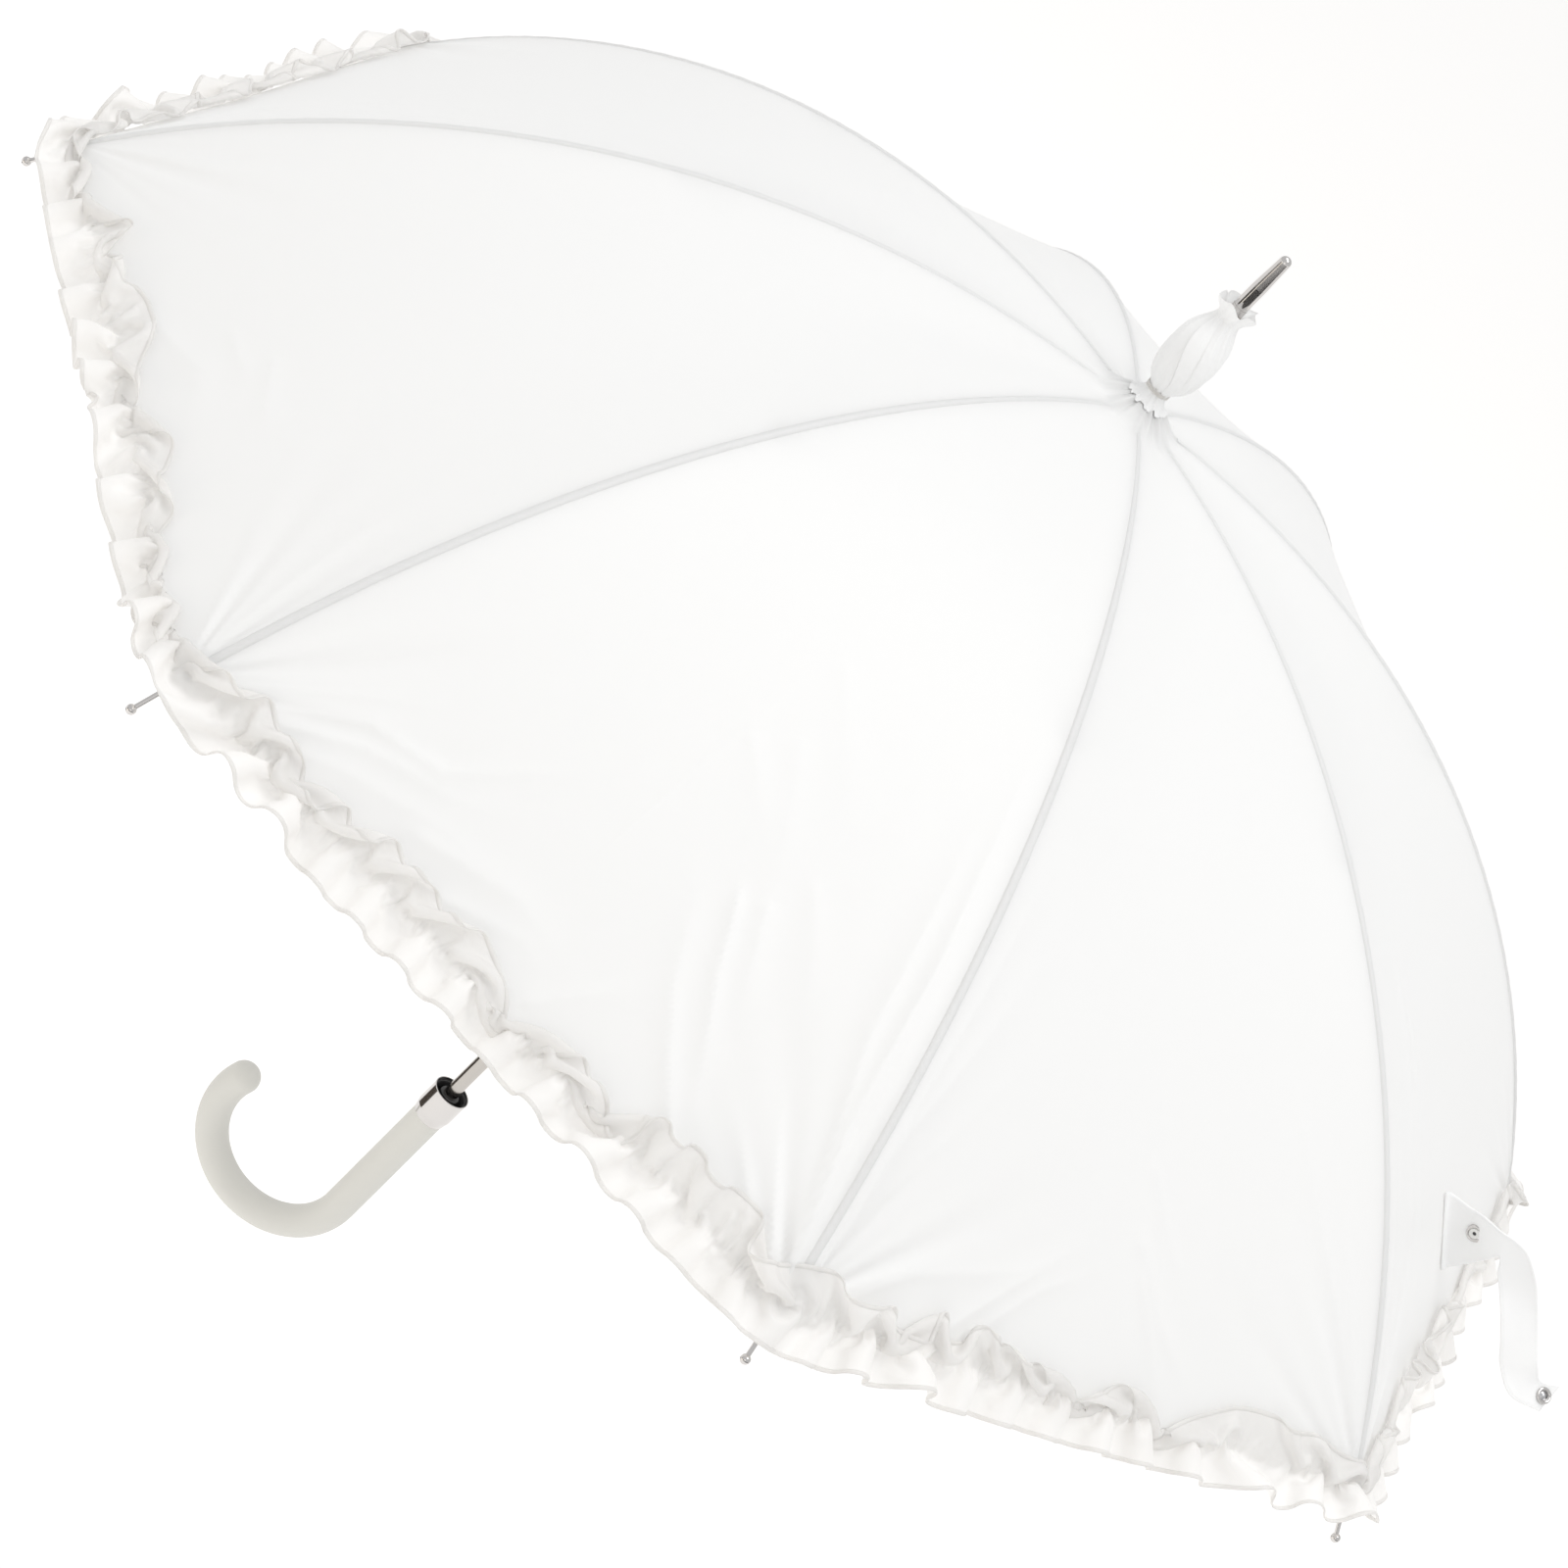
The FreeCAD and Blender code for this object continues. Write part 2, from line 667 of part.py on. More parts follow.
def gore_point(station, turn, rise):
    """A point over the straight cloth between ribs 4 and 5."""
    angle = math.radians(turn)
    radius, height = rib_line(station)
    lean = slope(station)
    middle = math.radians(3.5 * STEP)
    reach = radius * math.cos(math.pi / RIBS) / math.cos(angle - middle)
    flat = math.cos(lean) * math.cos(math.pi / RIBS)
    out = V(math.sin(lean) * math.cos(middle), math.sin(lean) * math.sin(middle), flat)
    out.normalize()
    return V(reach * math.cos(angle), reach * math.sin(angle), height) + out * rise


# the parasol is leant over, so the strap's free end hangs off the line of the shaft
HANG = V(-0.558, 0.542, -0.628)
ACROSS = V(-0.772, -0.062, 0.633)
FACE = V(0.304, 0.838, 0.453)
# the root is a tab that stands off the cloth: station, turn in degrees and rise of its upper
# and lower edges, from the sewn line outward
ROOT = [((0.797, 154.9, 1.8), (0.875, 154.9, 1.8)), ((0.814, 155.6, 12.0), (0.869, 155.6, 13.2)),
        ((0.826, 156.2, 19.0), (0.866, 156.2, 19.8)), ((0.839, 156.9, 24.0), (0.865, 156.9, 24.4))]
# the free part, from the end of the root: centre, then half-width, each across, down and forward
FREE = [((5.5, 8, -1), (5.8, -6.0, 3.0)), ((8.8, 18, -3), (8.2, -3.0, 2.2)), ((10, 32, -4), (9, 0, 0)),
        ((10, 46, -4), (9, 0, 0)), ((10, 60, -4), (9, 0, 0)), ((12, 68, -5), (8.2, -2.5, -3.0)),
        ((25, 75, -10), (5.5, -5.5, -3.3))]


def leant(across, down, forward):
    return ACROSS * across + HANG * down + FACE * forward


edges = [(gore_point(*upper), gore_point(*lower)) for upper, lower in ROOT]
line = [((top + bottom) * 0.5, (top - bottom) * 0.5) for top, bottom in edges]
root_end = line[-1][0]
line += [(root_end + leant(*place), leant(*half)) for place, half in FREE]
frames = []
for i, (centre, half) in enumerate(line):
    run = line[min(i + 1, len(line) - 1)][0] - line[max(i - 1, 0)][0]
    out = run.cross(half).normalize()
    frames.append((centre, half, out if out.dot(FACE) > 0 else out * -1))
ribbon("strap", frames, size["strap_thickness"])


def press_stud(name, centre, face):
    stud = doc.addObject("Part::Cylinder", name)
    bind(stud, Radius="Sizes.stud_radius", Height="Sizes.stud_height")
    stud.Placement = FreeCAD.Placement(centre + V(0, 0, size["crown_height"]),
                                       FreeCAD.Rotation(V(0, 0, 1), face))
    return keep(stud, name)


stud_place = frames[1][0] * 0.7 + frames[2][0] * 0.3 + frames[1][1] * 0.15
stud_place += frames[1][2] * (size["strap_thickness"] + 0.9)
press_stud("snap_stud", stud_place, frames[1][2])
socket_place = (frames[-1][0] * 3 + frames[-2][0]) * 0.25
socket_place += frames[-1][2] * (size["strap_thickness"] + 0.2)
press_stud("snap_socket", socket_place, frames[-1][2])

# ---------------------------------------------------------------- handle and cup

grip = cylinder("grip_rod", "Sizes.handle_radius", "Sizes.handle_head - Sizes.crook_height",
                "Sizes.crook_height")
bend = doc.addObject("Part::Torus", "crook_bend")
bend.Placement.Rotation = FreeCAD.Rotation(V(-1, 0, 0), V(0, 0, -1), V(0, -1, 0), "XYZ")
bind(bend, Radius1="Sizes.crook_radius", Radius2="Sizes.handle_radius",
     Angle3="Sizes.crook_sweep", Placement__Base__x="Sizes.crook_radius",
     Placement__Base__z="Sizes.crook_height")
cap = doc.addObject("Part::Sphere", "crook_end")
bind(cap, Radius="Sizes.handle_radius",
     Placement__Base__x="Sizes.crook_radius * (1 - cos(Sizes.crook_sweep * 1 deg))",
     Placement__Base__z="Sizes.crook_height - Sizes.crook_radius * sin(Sizes.crook_sweep * 1 deg)")
seat = cylinder("shaft_seat", "Sizes.shaft_radius", "Sizes.bore_depth",
                "Sizes.handle_head - Sizes.bore_depth")
crook = cut("crook", fuse("crook_whole", [grip, bend, cap]), seat)
crook.Placement.Rotation = FreeCAD.Rotation(V(0, 0, 1), size["crook_turn"])
keep(crook, "handle")

cup = new_body("tip_cup", 0.0, "Sizes.cup_foot")
cup_face = new_sketch(cup, "cup_face", "XZ_Plane")
tall = size["cup_head"] - size["cup_foot"]
outer = size["cup_radius"]
inner = outer - size["cup_wall"]
ledge = size["handle_head"] - size["cup_foot"]
draw_path(cup_face, [(size["handle_radius"], 0.0), (size["handle_radius"] + 0.5, 0.0),
                     (outer, 5.0), (outer, tall - 0.3),
                     ((outer - 0.3, tall), (inner, tall - 0.3)),
                     (inner, ledge), (size["handle_radius"], ledge)])
revolve(cup, cup_face, "cup_turned")

insert = new_body("cup_insert", 0.0, "Sizes.handle_head")
insert_face = new_sketch(insert, "insert_face", "XZ_Plane")
deep = size["insert_head"] - size["handle_head"]
floor = size["insert_floor"] - size["handle_head"]
draw_path(insert_face, [(4.05, 0.0), (size["insert_radius"], 0.0), (size["insert_radius"], deep),
                        (size["insert_well"], deep), (size["insert_well"], floor),
                        (size["insert_sleeve"], floor), (size["insert_sleeve"], deep),
                        (4.05, deep)])
revolve(insert, insert_face, "insert_turned")

# ---------------------------------------------------------------- check and export

doc.recompute()
for thing in doc.Objects:
    if "Invalid" in thing.State or "Error" in thing.State:
        raise RuntimeError("not built: " + thing.Name)
for thing in nodes:
    if thing.Shape.isNull() or not thing.Shape.isValid():
        raise RuntimeError("bad shape: " + thing.Label)
os.makedirs("parts", exist_ok=True)
for thing in nodes:
    thing.Shape.exportStep("parts/%s.step" % thing.Label)
    print(thing.Label, len(thing.Shape.Solids), round(thing.Shape.Volume, 1))
print("link", link_length, "joint", joint, "runner", runner_height, "folded", folded_runner)
print("folded tip", swing(rib_line(1.0, size["rib_centre"]), FOLD_DEGREES))
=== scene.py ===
import math

import bpy
import numpy as np
from mathutils import Matrix, Vector


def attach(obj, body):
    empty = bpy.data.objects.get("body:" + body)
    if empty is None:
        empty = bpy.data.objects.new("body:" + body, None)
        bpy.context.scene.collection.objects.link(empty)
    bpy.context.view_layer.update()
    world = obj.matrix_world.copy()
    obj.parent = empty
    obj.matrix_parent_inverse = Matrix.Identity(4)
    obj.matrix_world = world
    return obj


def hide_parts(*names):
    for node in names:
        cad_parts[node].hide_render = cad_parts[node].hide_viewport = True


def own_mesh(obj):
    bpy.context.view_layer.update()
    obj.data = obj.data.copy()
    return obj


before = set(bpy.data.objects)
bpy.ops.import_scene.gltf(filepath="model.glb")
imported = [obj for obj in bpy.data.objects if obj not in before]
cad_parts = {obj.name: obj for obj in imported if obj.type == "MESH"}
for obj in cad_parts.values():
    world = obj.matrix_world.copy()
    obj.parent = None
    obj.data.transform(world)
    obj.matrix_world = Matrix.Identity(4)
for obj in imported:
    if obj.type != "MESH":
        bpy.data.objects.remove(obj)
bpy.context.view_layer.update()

# ------------------------------------------------------------------ sizes, in metres
# The same rib line as the CAD part: slope below the horizontal along the rib.

MM = 0.001
CROWN = 0.590  # height of the rib line at the shaft
CROWN_RADIUS = 0.0055
RIB = 0.5347  # length of a rib along its curve
RIBS = 8
HALF = math.pi / RIBS  # half the angle of a gore
# where the cloth is cut, as a share of the rib: over a rib, and in the middle of a gore
HEM_RIB = 0.968
HEM_MID = 0.956
rng = np.random.default_rng(11)

STATIONS = np.linspace(0.0, 1.06, 1061)
SLOPES = np.radians(-1.7 + 59.1 * STATIONS - 2.15 * STATIONS**2)
STEP = RIB * (STATIONS[1] - STATIONS[0])
MID_SLOPES = (SLOPES[1:] + SLOPES[:-1]) / 2
OUT = CROWN_RADIUS + np.concatenate([[0], np.cumsum(STEP * np.cos(MID_SLOPES))])
DOWN = np.concatenate([[0], np.cumsum(STEP * np.sin(MID_SLOPES))])


def rib_radius(s):
    return np.interp(s, STATIONS, OUT)


def rib_height(s):
    return CROWN - np.interp(s, STATIONS, DOWN)


def rib_slope(s):
    return np.interp(s, STATIONS, SLOPES)


def smooth(x):
    x = np.clip(x, 0.0, 1.0)
    return x * x * (3.0 - 2.0 * x)


# ------------------------------------------------------------------ helpers


def unit(vectors):
    """Each vector of a row or grid of them, at length 1."""
    return vectors / np.maximum(np.linalg.norm(vectors, axis=-1, keepdims=True), 1e-12)


def rib_turn(rib):
    """The direction of a rib round the shaft, counted from 0."""
    return rib * 2.0 * HALF


def new_mesh(name, points, faces, normals=None):
    mesh = bpy.data.meshes.new(name)
    mesh.from_pydata([tuple(p) for p in points], [], [tuple(f) for f in faces])
    mesh.update()
    mesh.polygons.foreach_set("use_smooth", [True] * len(mesh.polygons))
    if normals is not None:
        mesh.normals_split_custom_set_from_vertices([tuple(n) for n in normals])
    made = bpy.data.objects.new(name, mesh)
    bpy.context.scene.collection.objects.link(made)
    return made


def grid_faces(rows, columns, loop=False):
    faces = []
    last = columns if loop else columns - 1
    for i in range(rows - 1):
        for j in range(last):
            k = (j + 1) % columns
            here, below = i * columns, (i + 1) * columns
            faces.append((here + j, here + k, below + k, below + j))
    return faces


def turned_faces(rows, columns, loop=False):
    """The same faces, seen from the other side."""
    return [face[::-1] for face in grid_faces(rows, columns, loop)]


def material(name, colour, roughness=0.5, metallic=0.0, **more):
    made = bpy.data.materials.new(name)
    made.use_nodes = True
    shader = made.node_tree.nodes["Principled BSDF"]
    shader.inputs["Base Color"].default_value = (*colour, 1.0)
    shader.inputs["Roughness"].default_value = roughness
    shader.inputs["Metallic"].default_value = metallic
    for key, value in more.items():
        shader.inputs[key.replace("_", " ")].default_value = value
    return made


def node(tree, kind, **values):
    made = tree.nodes.new(kind)
    for key, value in values.items():
        if hasattr(made, key):
            setattr(made, key, value)
        else:
            made.inputs[key.replace("_", " ")].default_value = value
    return made


# ------------------------------------------------------------------ materials


def cloth_material(name, colour, through=0.25, weave=0.06):
    """White satin: a soft sheen, light that comes through it, a fine weave and small unevenness."""
    made = material(name, colour, roughness=0.42, Specular_IOR_Level=0.35, Sheen_Weight=0.15,
                    Sheen_Roughness=0.5)
    tree = made.node_tree
    shader = tree.nodes["Principled BSDF"]
    place = node(tree, "ShaderNodeTexCoord")
    threads = node(tree, "ShaderNodeTexWave", Scale=900.0, Distortion=1.0, Detail=1.0)
    uneven = node(tree, "ShaderNodeTexNoise", Scale=38.0, Detail=4.0, Roughness=0.55)
    add = node(tree, "ShaderNodeMath", operation="MULTIPLY_ADD")
    add.inputs[1].default_value = weave
    bump = node(tree, "ShaderNodeBump", Strength=0.25, Distance=0.0006)
    tree.links.new(place.outputs["Object"], threads.inputs["Vector"])
    tree.links.new(place.outputs["Object"], uneven.inputs["Vector"])
    tree.links.new(threads.outputs["Fac"], add.inputs[0])
    tree.links.new(uneven.outputs["Fac"], add.inputs[2])
    tree.links.new(add.outputs["Value"], bump.inputs["Height"])
    tree.links.new(bump.outputs["Normal"], shader.inputs["Normal"])
    glow = node(tree, "ShaderNodeBsdfTranslucent")
    glow.inputs["Color"].default_value = (*colour, 1.0)
    mix = node(tree, "ShaderNodeMixShader")
    mix.inputs[0].default_value = through
    end = tree.nodes["Material Output"]
    tree.links.new(shader.outputs["BSDF"], mix.inputs[1])
    tree.links.new(glow.outputs["BSDF"], mix.inputs[2])
    tree.links.new(mix.outputs["Shader"], end.inputs["Surface"])
    return made


def roughened(made, scale, low, high, bump=0.0):
    """Vary a material's roughness a little, and its surface if asked."""
    tree = made.node_tree
    shader = tree.nodes["Principled BSDF"]
    place = node(tree, "ShaderNodeTexCoord")
    noise = node(tree, "ShaderNodeTexNoise", Scale=scale, Detail=3.0)
    spread = node(tree, "ShaderNodeMapRange")
    spread.inputs["To Min"].default_value = low
    spread.inputs["To Max"].default_value = high
    tree.links.new(place.outputs["Object"], noise.inputs["Vector"])
    tree.links.new(noise.outputs["Fac"], spread.inputs["Value"])
    tree.links.new(spread.outputs["Result"], shader.inputs["Roughness"])
    if bump:
        lift = node(tree, "ShaderNodeBump", Strength=bump, Distance=0.0002)
        tree.links.new(noise.outputs["Fac"], lift.inputs["Height"])
        tree.links.new(lift.outputs["Normal"], shader.inputs["Normal"])
    return made


def solid_material(name, colour, roughness, low, high, scale, metallic=0.0, bump=0.0):
    """A metal or plastic whose roughness varies between low and high, about a middle value."""
    return roughened(material(name, colour, roughness, metallic), scale, low, high, bump)


satin = cloth_material("satin", (0.90, 0.90, 0.893))
# painted light: the frill's satin is a lighter copy of the canopy's satin, which lifts the shade in
# the frill's folds
frill_lightened_satin = cloth_material("frill lightened satin", (0.955, 0.945, 0.93), through=0.42)
# painted light: a lighter copy of the same satin for the sleeve and the strap, which lifts the shade
# they stand in
shade_lifted_satin = cloth_material("shade lifted satin", (0.97, 0.97, 0.965), through=0.05)
hem_thread = solid_material("hem thread", (0.74, 0.72, 0.69), 0.7, 0.6, 0.8, 400.0, bump=0.2)
chrome = solid_material("chrome", (0.66, 0.64, 0.625), 0.12, 0.08, 0.16, 60.0, metallic=1.0)
shaft_chrome = solid_material("shaft chrome", (0.52, 0.495, 0.465), 0.16, 0.12, 0.22, 60.0,
                              metallic=1.0)
steel = solid_material("steel", (0.58, 0.58, 0.59), 0.3, 0.22, 0.38, 120.0, metallic=1.0)
black_plastic = solid_material("black plastic", (0.045, 0.045, 0.046), 0.5, 0.45, 0.6, 200.0)
white_plastic = solid_material("white plastic", (0.78, 0.78, 0.75), 0.4, 0.35, 0.5, 200.0)
handle_plastic = solid_material("handle plastic", (0.71, 0.70, 0.655), 0.5, 0.45, 0.6, 90.0,
                                bump=0.1)

# ------------------------------------------------------------------ the canopy's surface

# Folds in the taut cloth: gore, then points (across, along) and the width and height in mm.
# Across runs from -1 at the gore's first rib to 1 at its second.
FOLDS = [
    # from the tip of rib 2, fanning over the front gore
    (1, [(-0.97, 0.95), (-0.72, 0.86), (-0.52, 0.80)], 2.4, 0.8),
    (1, [(-0.92, 0.95), (-0.66, 0.875), (-0.46, 0.86), (-0.30, 0.80), (-0.15, 0.74)], 2.6, 1.2),
    (1, [(-0.90, 0.955), (-0.62, 0.89), (-0.40, 0.87), (-0.20, 0.83)], 2.2, 0.8),
    (1, [(-0.88, 0.96), (-0.60, 0.915), (-0.35, 0.89), (0.0, 0.88)], 3.0, 0.7),
    (1, [(-0.96, 0.94), (-0.80, 0.83), (-0.68, 0.72)], 2.6, 0.5),
    # long folds beside the seam of rib 3, and the pleat that ends at its tip
    (1, [(0.97, 0.95), (0.82, 0.76), (0.78, 0.58), (0.80, 0.46)], 2.8, 1.5),
    (1, [(0.98, 0.95), (0.90, 0.82), (0.89, 0.68), (0.86, 0.52), (0.87, 0.40)], 2.2, 1.8),
    (1, [(0.985, 0.94), (0.94, 0.84), (0.93, 0.72), (0.925, 0.60)], 1.8, 0.9),
    (1, [(0.95, 0.955), (0.84, 0.90), (0.75, 0.86), (0.66, 0.82)], 1.8, 1.3),
    (1, [(0.93, 0.96), (0.80, 0.92), (0.68, 0.885), (0.60, 0.87)], 1.6, 0.9),
    # crossing folds low in the middle of the front gore
    (1, [(0.60, 0.945), (0.44, 0.89), (0.32, 0.845), (0.20, 0.78), (0.04, 0.755)], 3.0, 1.5),
    (1, [(0.28, 0.75), (0.38, 0.81), (0.50, 0.87), (0.64, 0.945)], 2.4, 1.4),
    (1, [(0.36, 0.74), (0.46, 0.80), (0.55, 0.85)], 3.4, 0.9),
    (1, [(0.08, 0.94), (0.20, 0.89), (0.30, 0.84)], 3.6, 0.8),
    (1, [(-0.40, 0.91), (-0.10, 0.885), (0.20, 0.90)], 3.4, 0.9),
    (1, [(-0.24, 0.93), (-0.02, 0.905), (0.14, 0.92)], 2.6, 0.7),
    (1, [(-0.055, 0.82), (-0.045, 0.66), (-0.04, 0.52)], 1.0, 0.22),
    (1, [(0.0, 0.54), (0.25, 0.60), (0.50, 0.67)], 4.0, 0.4),
    (1, [(-0.03, 0.65), (0.12, 0.68), (0.29, 0.72)], 3.2, 0.45),
    (1, [(0.42, 0.70), (0.55, 0.74), (0.70, 0.82)], 3.4, 0.5),
    (1, [(0.10, 0.62), (0.30, 0.70), (0.44, 0.78)], 4.0, 0.4),
    # the gore between ribs 3 and 4
    (2, [(-0.99, 0.945), (-0.94, 0.80), (-0.77, 0.66), (-0.62, 0.56)], 2.6, 0.9),
    (2, [(-0.985, 0.945), (-0.95, 0.76), (-0.88, 0.60), (-0.84, 0.48)], 2.2, 0.9),
    (2, [(-0.97, 0.95), (-0.90, 0.85), (-0.70, 0.74), (-0.55, 0.68)], 2.4, 0.6),
    (2, [(-0.93, 0.955), (-0.70, 0.90), (-0.36, 0.87), (-0.04, 0.81)], 3.0, 0.8),
    (2, [(-0.58, 0.955), (-0.38, 0.885), (-0.13, 0.82)], 2.4, 0.9),
    (2, [(-0.46, 0.94), (-0.28, 0.88), (-0.04, 0.84)], 2.2, 0.7),
    (2, [(-0.02, 0.75), (0.10, 0.80), (0.24, 0.86)], 1.8, 0.6),
    (2, [(0.0, 0.81), (0.18, 0.88), (0.40, 0.94)], 2.4, 0.9),
    (2, [(0.04, 0.84), (0.25, 0.94), (0.30, 0.95)], 2.0, 0.6),
    (2, [(0.99, 0.95), (0.70, 0.75), (0.38, 0.56)], 2.0, 0.6),
    (2, [(0.99, 0.95), (0.85, 0.80), (0.67, 0.66)], 2.2, 0.8),
    (2, [(0.995, 0.94), (0.90, 0.82), (0.82, 0.70)], 1.8, 0.7),
    (2, [(0.98, 0.95), (0.78, 0.85), (0.55, 0.78)], 2.2, 0.6),
    # the gores beside these two
    (3, [(-0.44, 0.55), (-0.52, 0.75), (-0.60, 0.94)], 3.2, 0.6),
    (3, [(-0.36, 0.60), (-0.40, 0.78), (-0.42, 0.94)], 2.4, 0.5),
    (3, [(-0.98, 0.95), (-0.86, 0.78), (-0.78, 0.60)], 2.6, 0.7),
    (3, [(0.97, 0.95), (0.80, 0.80), (0.62, 0.66)], 2.8, 0.7),
    (0, [(-0.30, 0.93), (0.0, 0.89), (0.30, 0.915)], 3.6, 0.8),
    (0, [(0.02, 0.83), (0.20, 0.845), (0.36, 0.85)], 2.8, 0.6),
    (0, [(-0.12, 0.86), (0.04, 0.855), (0.16, 0.87)], 2.4, 0.5),
    (0, [(0.97, 0.95), (0.82, 0.80), (0.72, 0.66)], 3.0, 0.5),
    (0, [(0.96, 0.955), (0.70, 0.87), (0.50, 0.80)], 2.8, 0.45),
    (0, [(-0.97, 0.95), (-0.80, 0.84), (-0.70, 0.72)], 2.8, 0.5),
    (7, [(0.96, 0.95), (0.80, 0.75), (0.75, 0.55)], 3.0, 0.9),
    (7, [(0.60, 0.93), (0.45, 0.70), (0.45, 0.45)], 3.6, 0.6),
    (7, [(-0.97, 0.95), (-0.75, 0.80), (-0.55, 0.66)], 3.0, 0.8),
    (6, [(-0.96, 0.95), (-0.78, 0.80), (-0.66, 0.62)], 2.8, 0.9),
    (6, [(0.97, 0.95), (0.84, 0.82), (0.76, 0.66)], 2.8, 0.7),
]
# Gores that the folds above leave plain borrow another gore's, mirrored or not.
for gore, source, side in ((4, 1, -1.0), (5, 2, 1.0)):
    for where, points, width, height in [f for f in FOLDS if f[0] == source]:
        FOLDS.append((gore, [(side * u, s) for u, s in points], width, height * 0.8))


def fold_heights(gore, u, s):
    """How far the folds lift the cloth of one gore, in metres."""
    lift = np.zeros_like(u)
    half = rib_radius(s) * math.sin(HALF)
    x = u * half
    y = s * RIB
    for where, points, width, height in FOLDS:
        if where != gore:
            continue
        line = [(pu * float(rib_radius(ps)) * math.sin(HALF), ps * RIB) for pu, ps in points]
        total = sum(math.dist(a, b) for a, b in zip(line, line[1:]))
        best = np.full(u.shape, np.inf)
        run = np.zeros_like(u)
        done = 0.0
        for a, b in zip(line, line[1:]):
            dx, dy = b[0] - a[0], b[1] - a[1]
            size = math.hypot(dx, dy)
            t = np.clip(((x - a[0]) * dx + (y - a[1]) * dy) / size**2, 0.0, 1.0)
            away = np.hypot(x - a[0] - t * dx, y - a[1] - t * dy)
            closer = away < best
            best = np.where(closer, away, best)
            run = np.where(closer, (done + t * size) / total, run)
            done += size
        # a fold is narrow where it starts, and it widens and fades along its run
        spread = width * MM * (0.85 + 0.9 * run)
        fade = smooth((1.0 - run) / 0.6) * smooth(run / 0.12 + 0.35)
        edge = best / spread
        # a sharp crest on a wider swell, with a shallow trough on both sides
        swell = (edge / 2.4) ** 2
        crest = np.exp(-edge**1.5) * 0.6 + np.exp(-swell) * (0.55 - 0.16 * swell)
        lift += height * MM * fade * crest
    return lift


def tip_fans(gore, u, s):
    """Fine tension folds that spread from the rib tips."""
    lift = np.zeros_like(u)
    half = rib_radius(s) * math.sin(HALF)
    tip = 0.955
    corner = rib_radius(tip) * math.sin(HALF)
    for side in (-1.0, 1.0):
        dx = corner - side * u * half
        dy = (tip - s) * RIB
        reach = np.hypot(dx, dy)
        turn = np.arctan2(dx, dy)
        phase = 1.7 * gore + 2.3 * side
        ripple = np.sin(17.0 * turn + phase) + 0.6 * np.sin(29.0 * turn + 2.0 * phase)
        strength = np.exp(-((reach - 0.05) / 0.07) ** 2) * smooth(reach / 0.03)
        inside = smooth((turn + 0.02) / 0.15) * smooth((1.25 - turn) / 0.3)
        lift += 0.00045 * ripple * strength * inside
    return lift


def broad_waves(gore, u, s):
    """Slow unevenness of the cloth between the ribs."""
    local = np.random.default_rng(40 + gore)
    lift = np.zeros_like(u)
    for i in range(7):
        a, b = local.uniform(1.5, 6.0), local.uniform(2.0, 11.0)
        p, q = local.uniform(0, 2 * math.pi, 2)
        lift += local.uniform(0.2, 0.5) * np.sin(a * u + p) * np.sin(b * s + q)
    return lift * 0.0007 * (1.0 - u**2) * smooth(s / 0.3)


def crown_climb(radius):
    """The cloth climbs to the tie at the crown."""
    climb, top, length = 0.0075, 0.006, 0.020
    return climb * (1.0 - smooth((radius - top) / length))


def crown_gathers(angle, radius):
    """Pleats in the cloth where it is drawn in to the tie."""
    pleats = np.sin(11 * angle + 0.7) + 0.7 * np.sin(17 * angle + 2.0) + 0.4 * np.sin(26 * angle)
    return 0.0008 * pleats * np.exp(-(((radius - 0.014) / 0.013) ** 2))


def canopy_point(gore, u, s):
    """The outside of the cloth: gore from rib `gore` to the next, u from -1 to 1, s along."""
    first = rib_turn(gore)
    w = (u + 1.0) / 2.0
    r = rib_radius(s)
    x = r * ((1 - w) * np.cos(first) + w * np.cos(first + 2 * HALF))
    y = r * ((1 - w) * np.sin(first) + w * np.sin(first + 2 * HALF))
    z = rib_height(s)
    lean = rib_slope(s)
    middle = first + HALF
    n = np.stack([np.sin(lean) * math.cos(middle), np.sin(lean) * math.sin(middle),
                  np.cos(lean) * math.cos(HALF) * np.ones_like(u)], -1)
    n /= np.linalg.norm(n, axis=-1, keepdims=True)
    # the taut cloth sinks a little between the ribs, and its folds end at the seams
    sink = -0.0055 * (1.0 - u**2) * np.sin(math.pi * np.clip(s, 0, 1)) ** 0.8
    lift = sink + (fold_heights(gore, u, s) + tip_fans(gore, u, s)) * smooth((1 - np.abs(u)) / 0.03)
    lift += broad_waves(gore, u, s)
    point = np.stack([x, y, z], -1) + n * lift[..., None]
    turn = first + HALF + np.arctan(u * math.tan(HALF))
    point[..., 2] += crown_climb(r) + crown_gathers(turn, r)
    return point


def hem_station(u):
    """Where the cloth is cut, along the rib line."""
    return HEM_MID + (HEM_RIB - HEM_MID) * np.abs(u) ** 6


# columns of half a gore, closer together beside the rib
ACROSS = np.concatenate([[0.0, 0.006, 0.012, 0.02, 0.03], np.linspace(0.045, 1.0, 84)])
# Where each rib's cloth is split along the rib, the rows in each part, and the share of its width
# that the part keeps when the ribs are folded. The folded ribs stand further apart at the crown.
PARTS = [(0.006, 0.03, 8, 1.0), (0.03, 0.05, 7, 0.83), (0.05, 0.08, 9, 0.69),
         (0.08, 0.12, 11, 0.61), (0.12, 0.17, 14, 0.54), (0.17, 0.23, 16, 0.485),
         (0.23, 0.30, 19, 0.435), (0.30, 0.38, 21, 0.385), (0.38, 1.0, 155, 0.33)]
# where the cloth round the tie ends, along the rib line
CROWN_EDGE = 0.016


def canopy_normal(gore, u, s):
    """The cloth's own normal, from points half a millimetre to each side."""
    near = 0.001
    a = canopy_point(gore, u, s + near) - canopy_point(gore, u, s - near)
    du = 0.0006 / np.maximum(rib_radius(s) * math.sin(HALF), 0.003)
    b = canopy_point(gore, u + du, s) - canopy_point(gore, u - du, s)
    n = unit(np.cross(a, b))
    return n * np.where(n[..., 2:3] < 0, -1.0, 1.0)


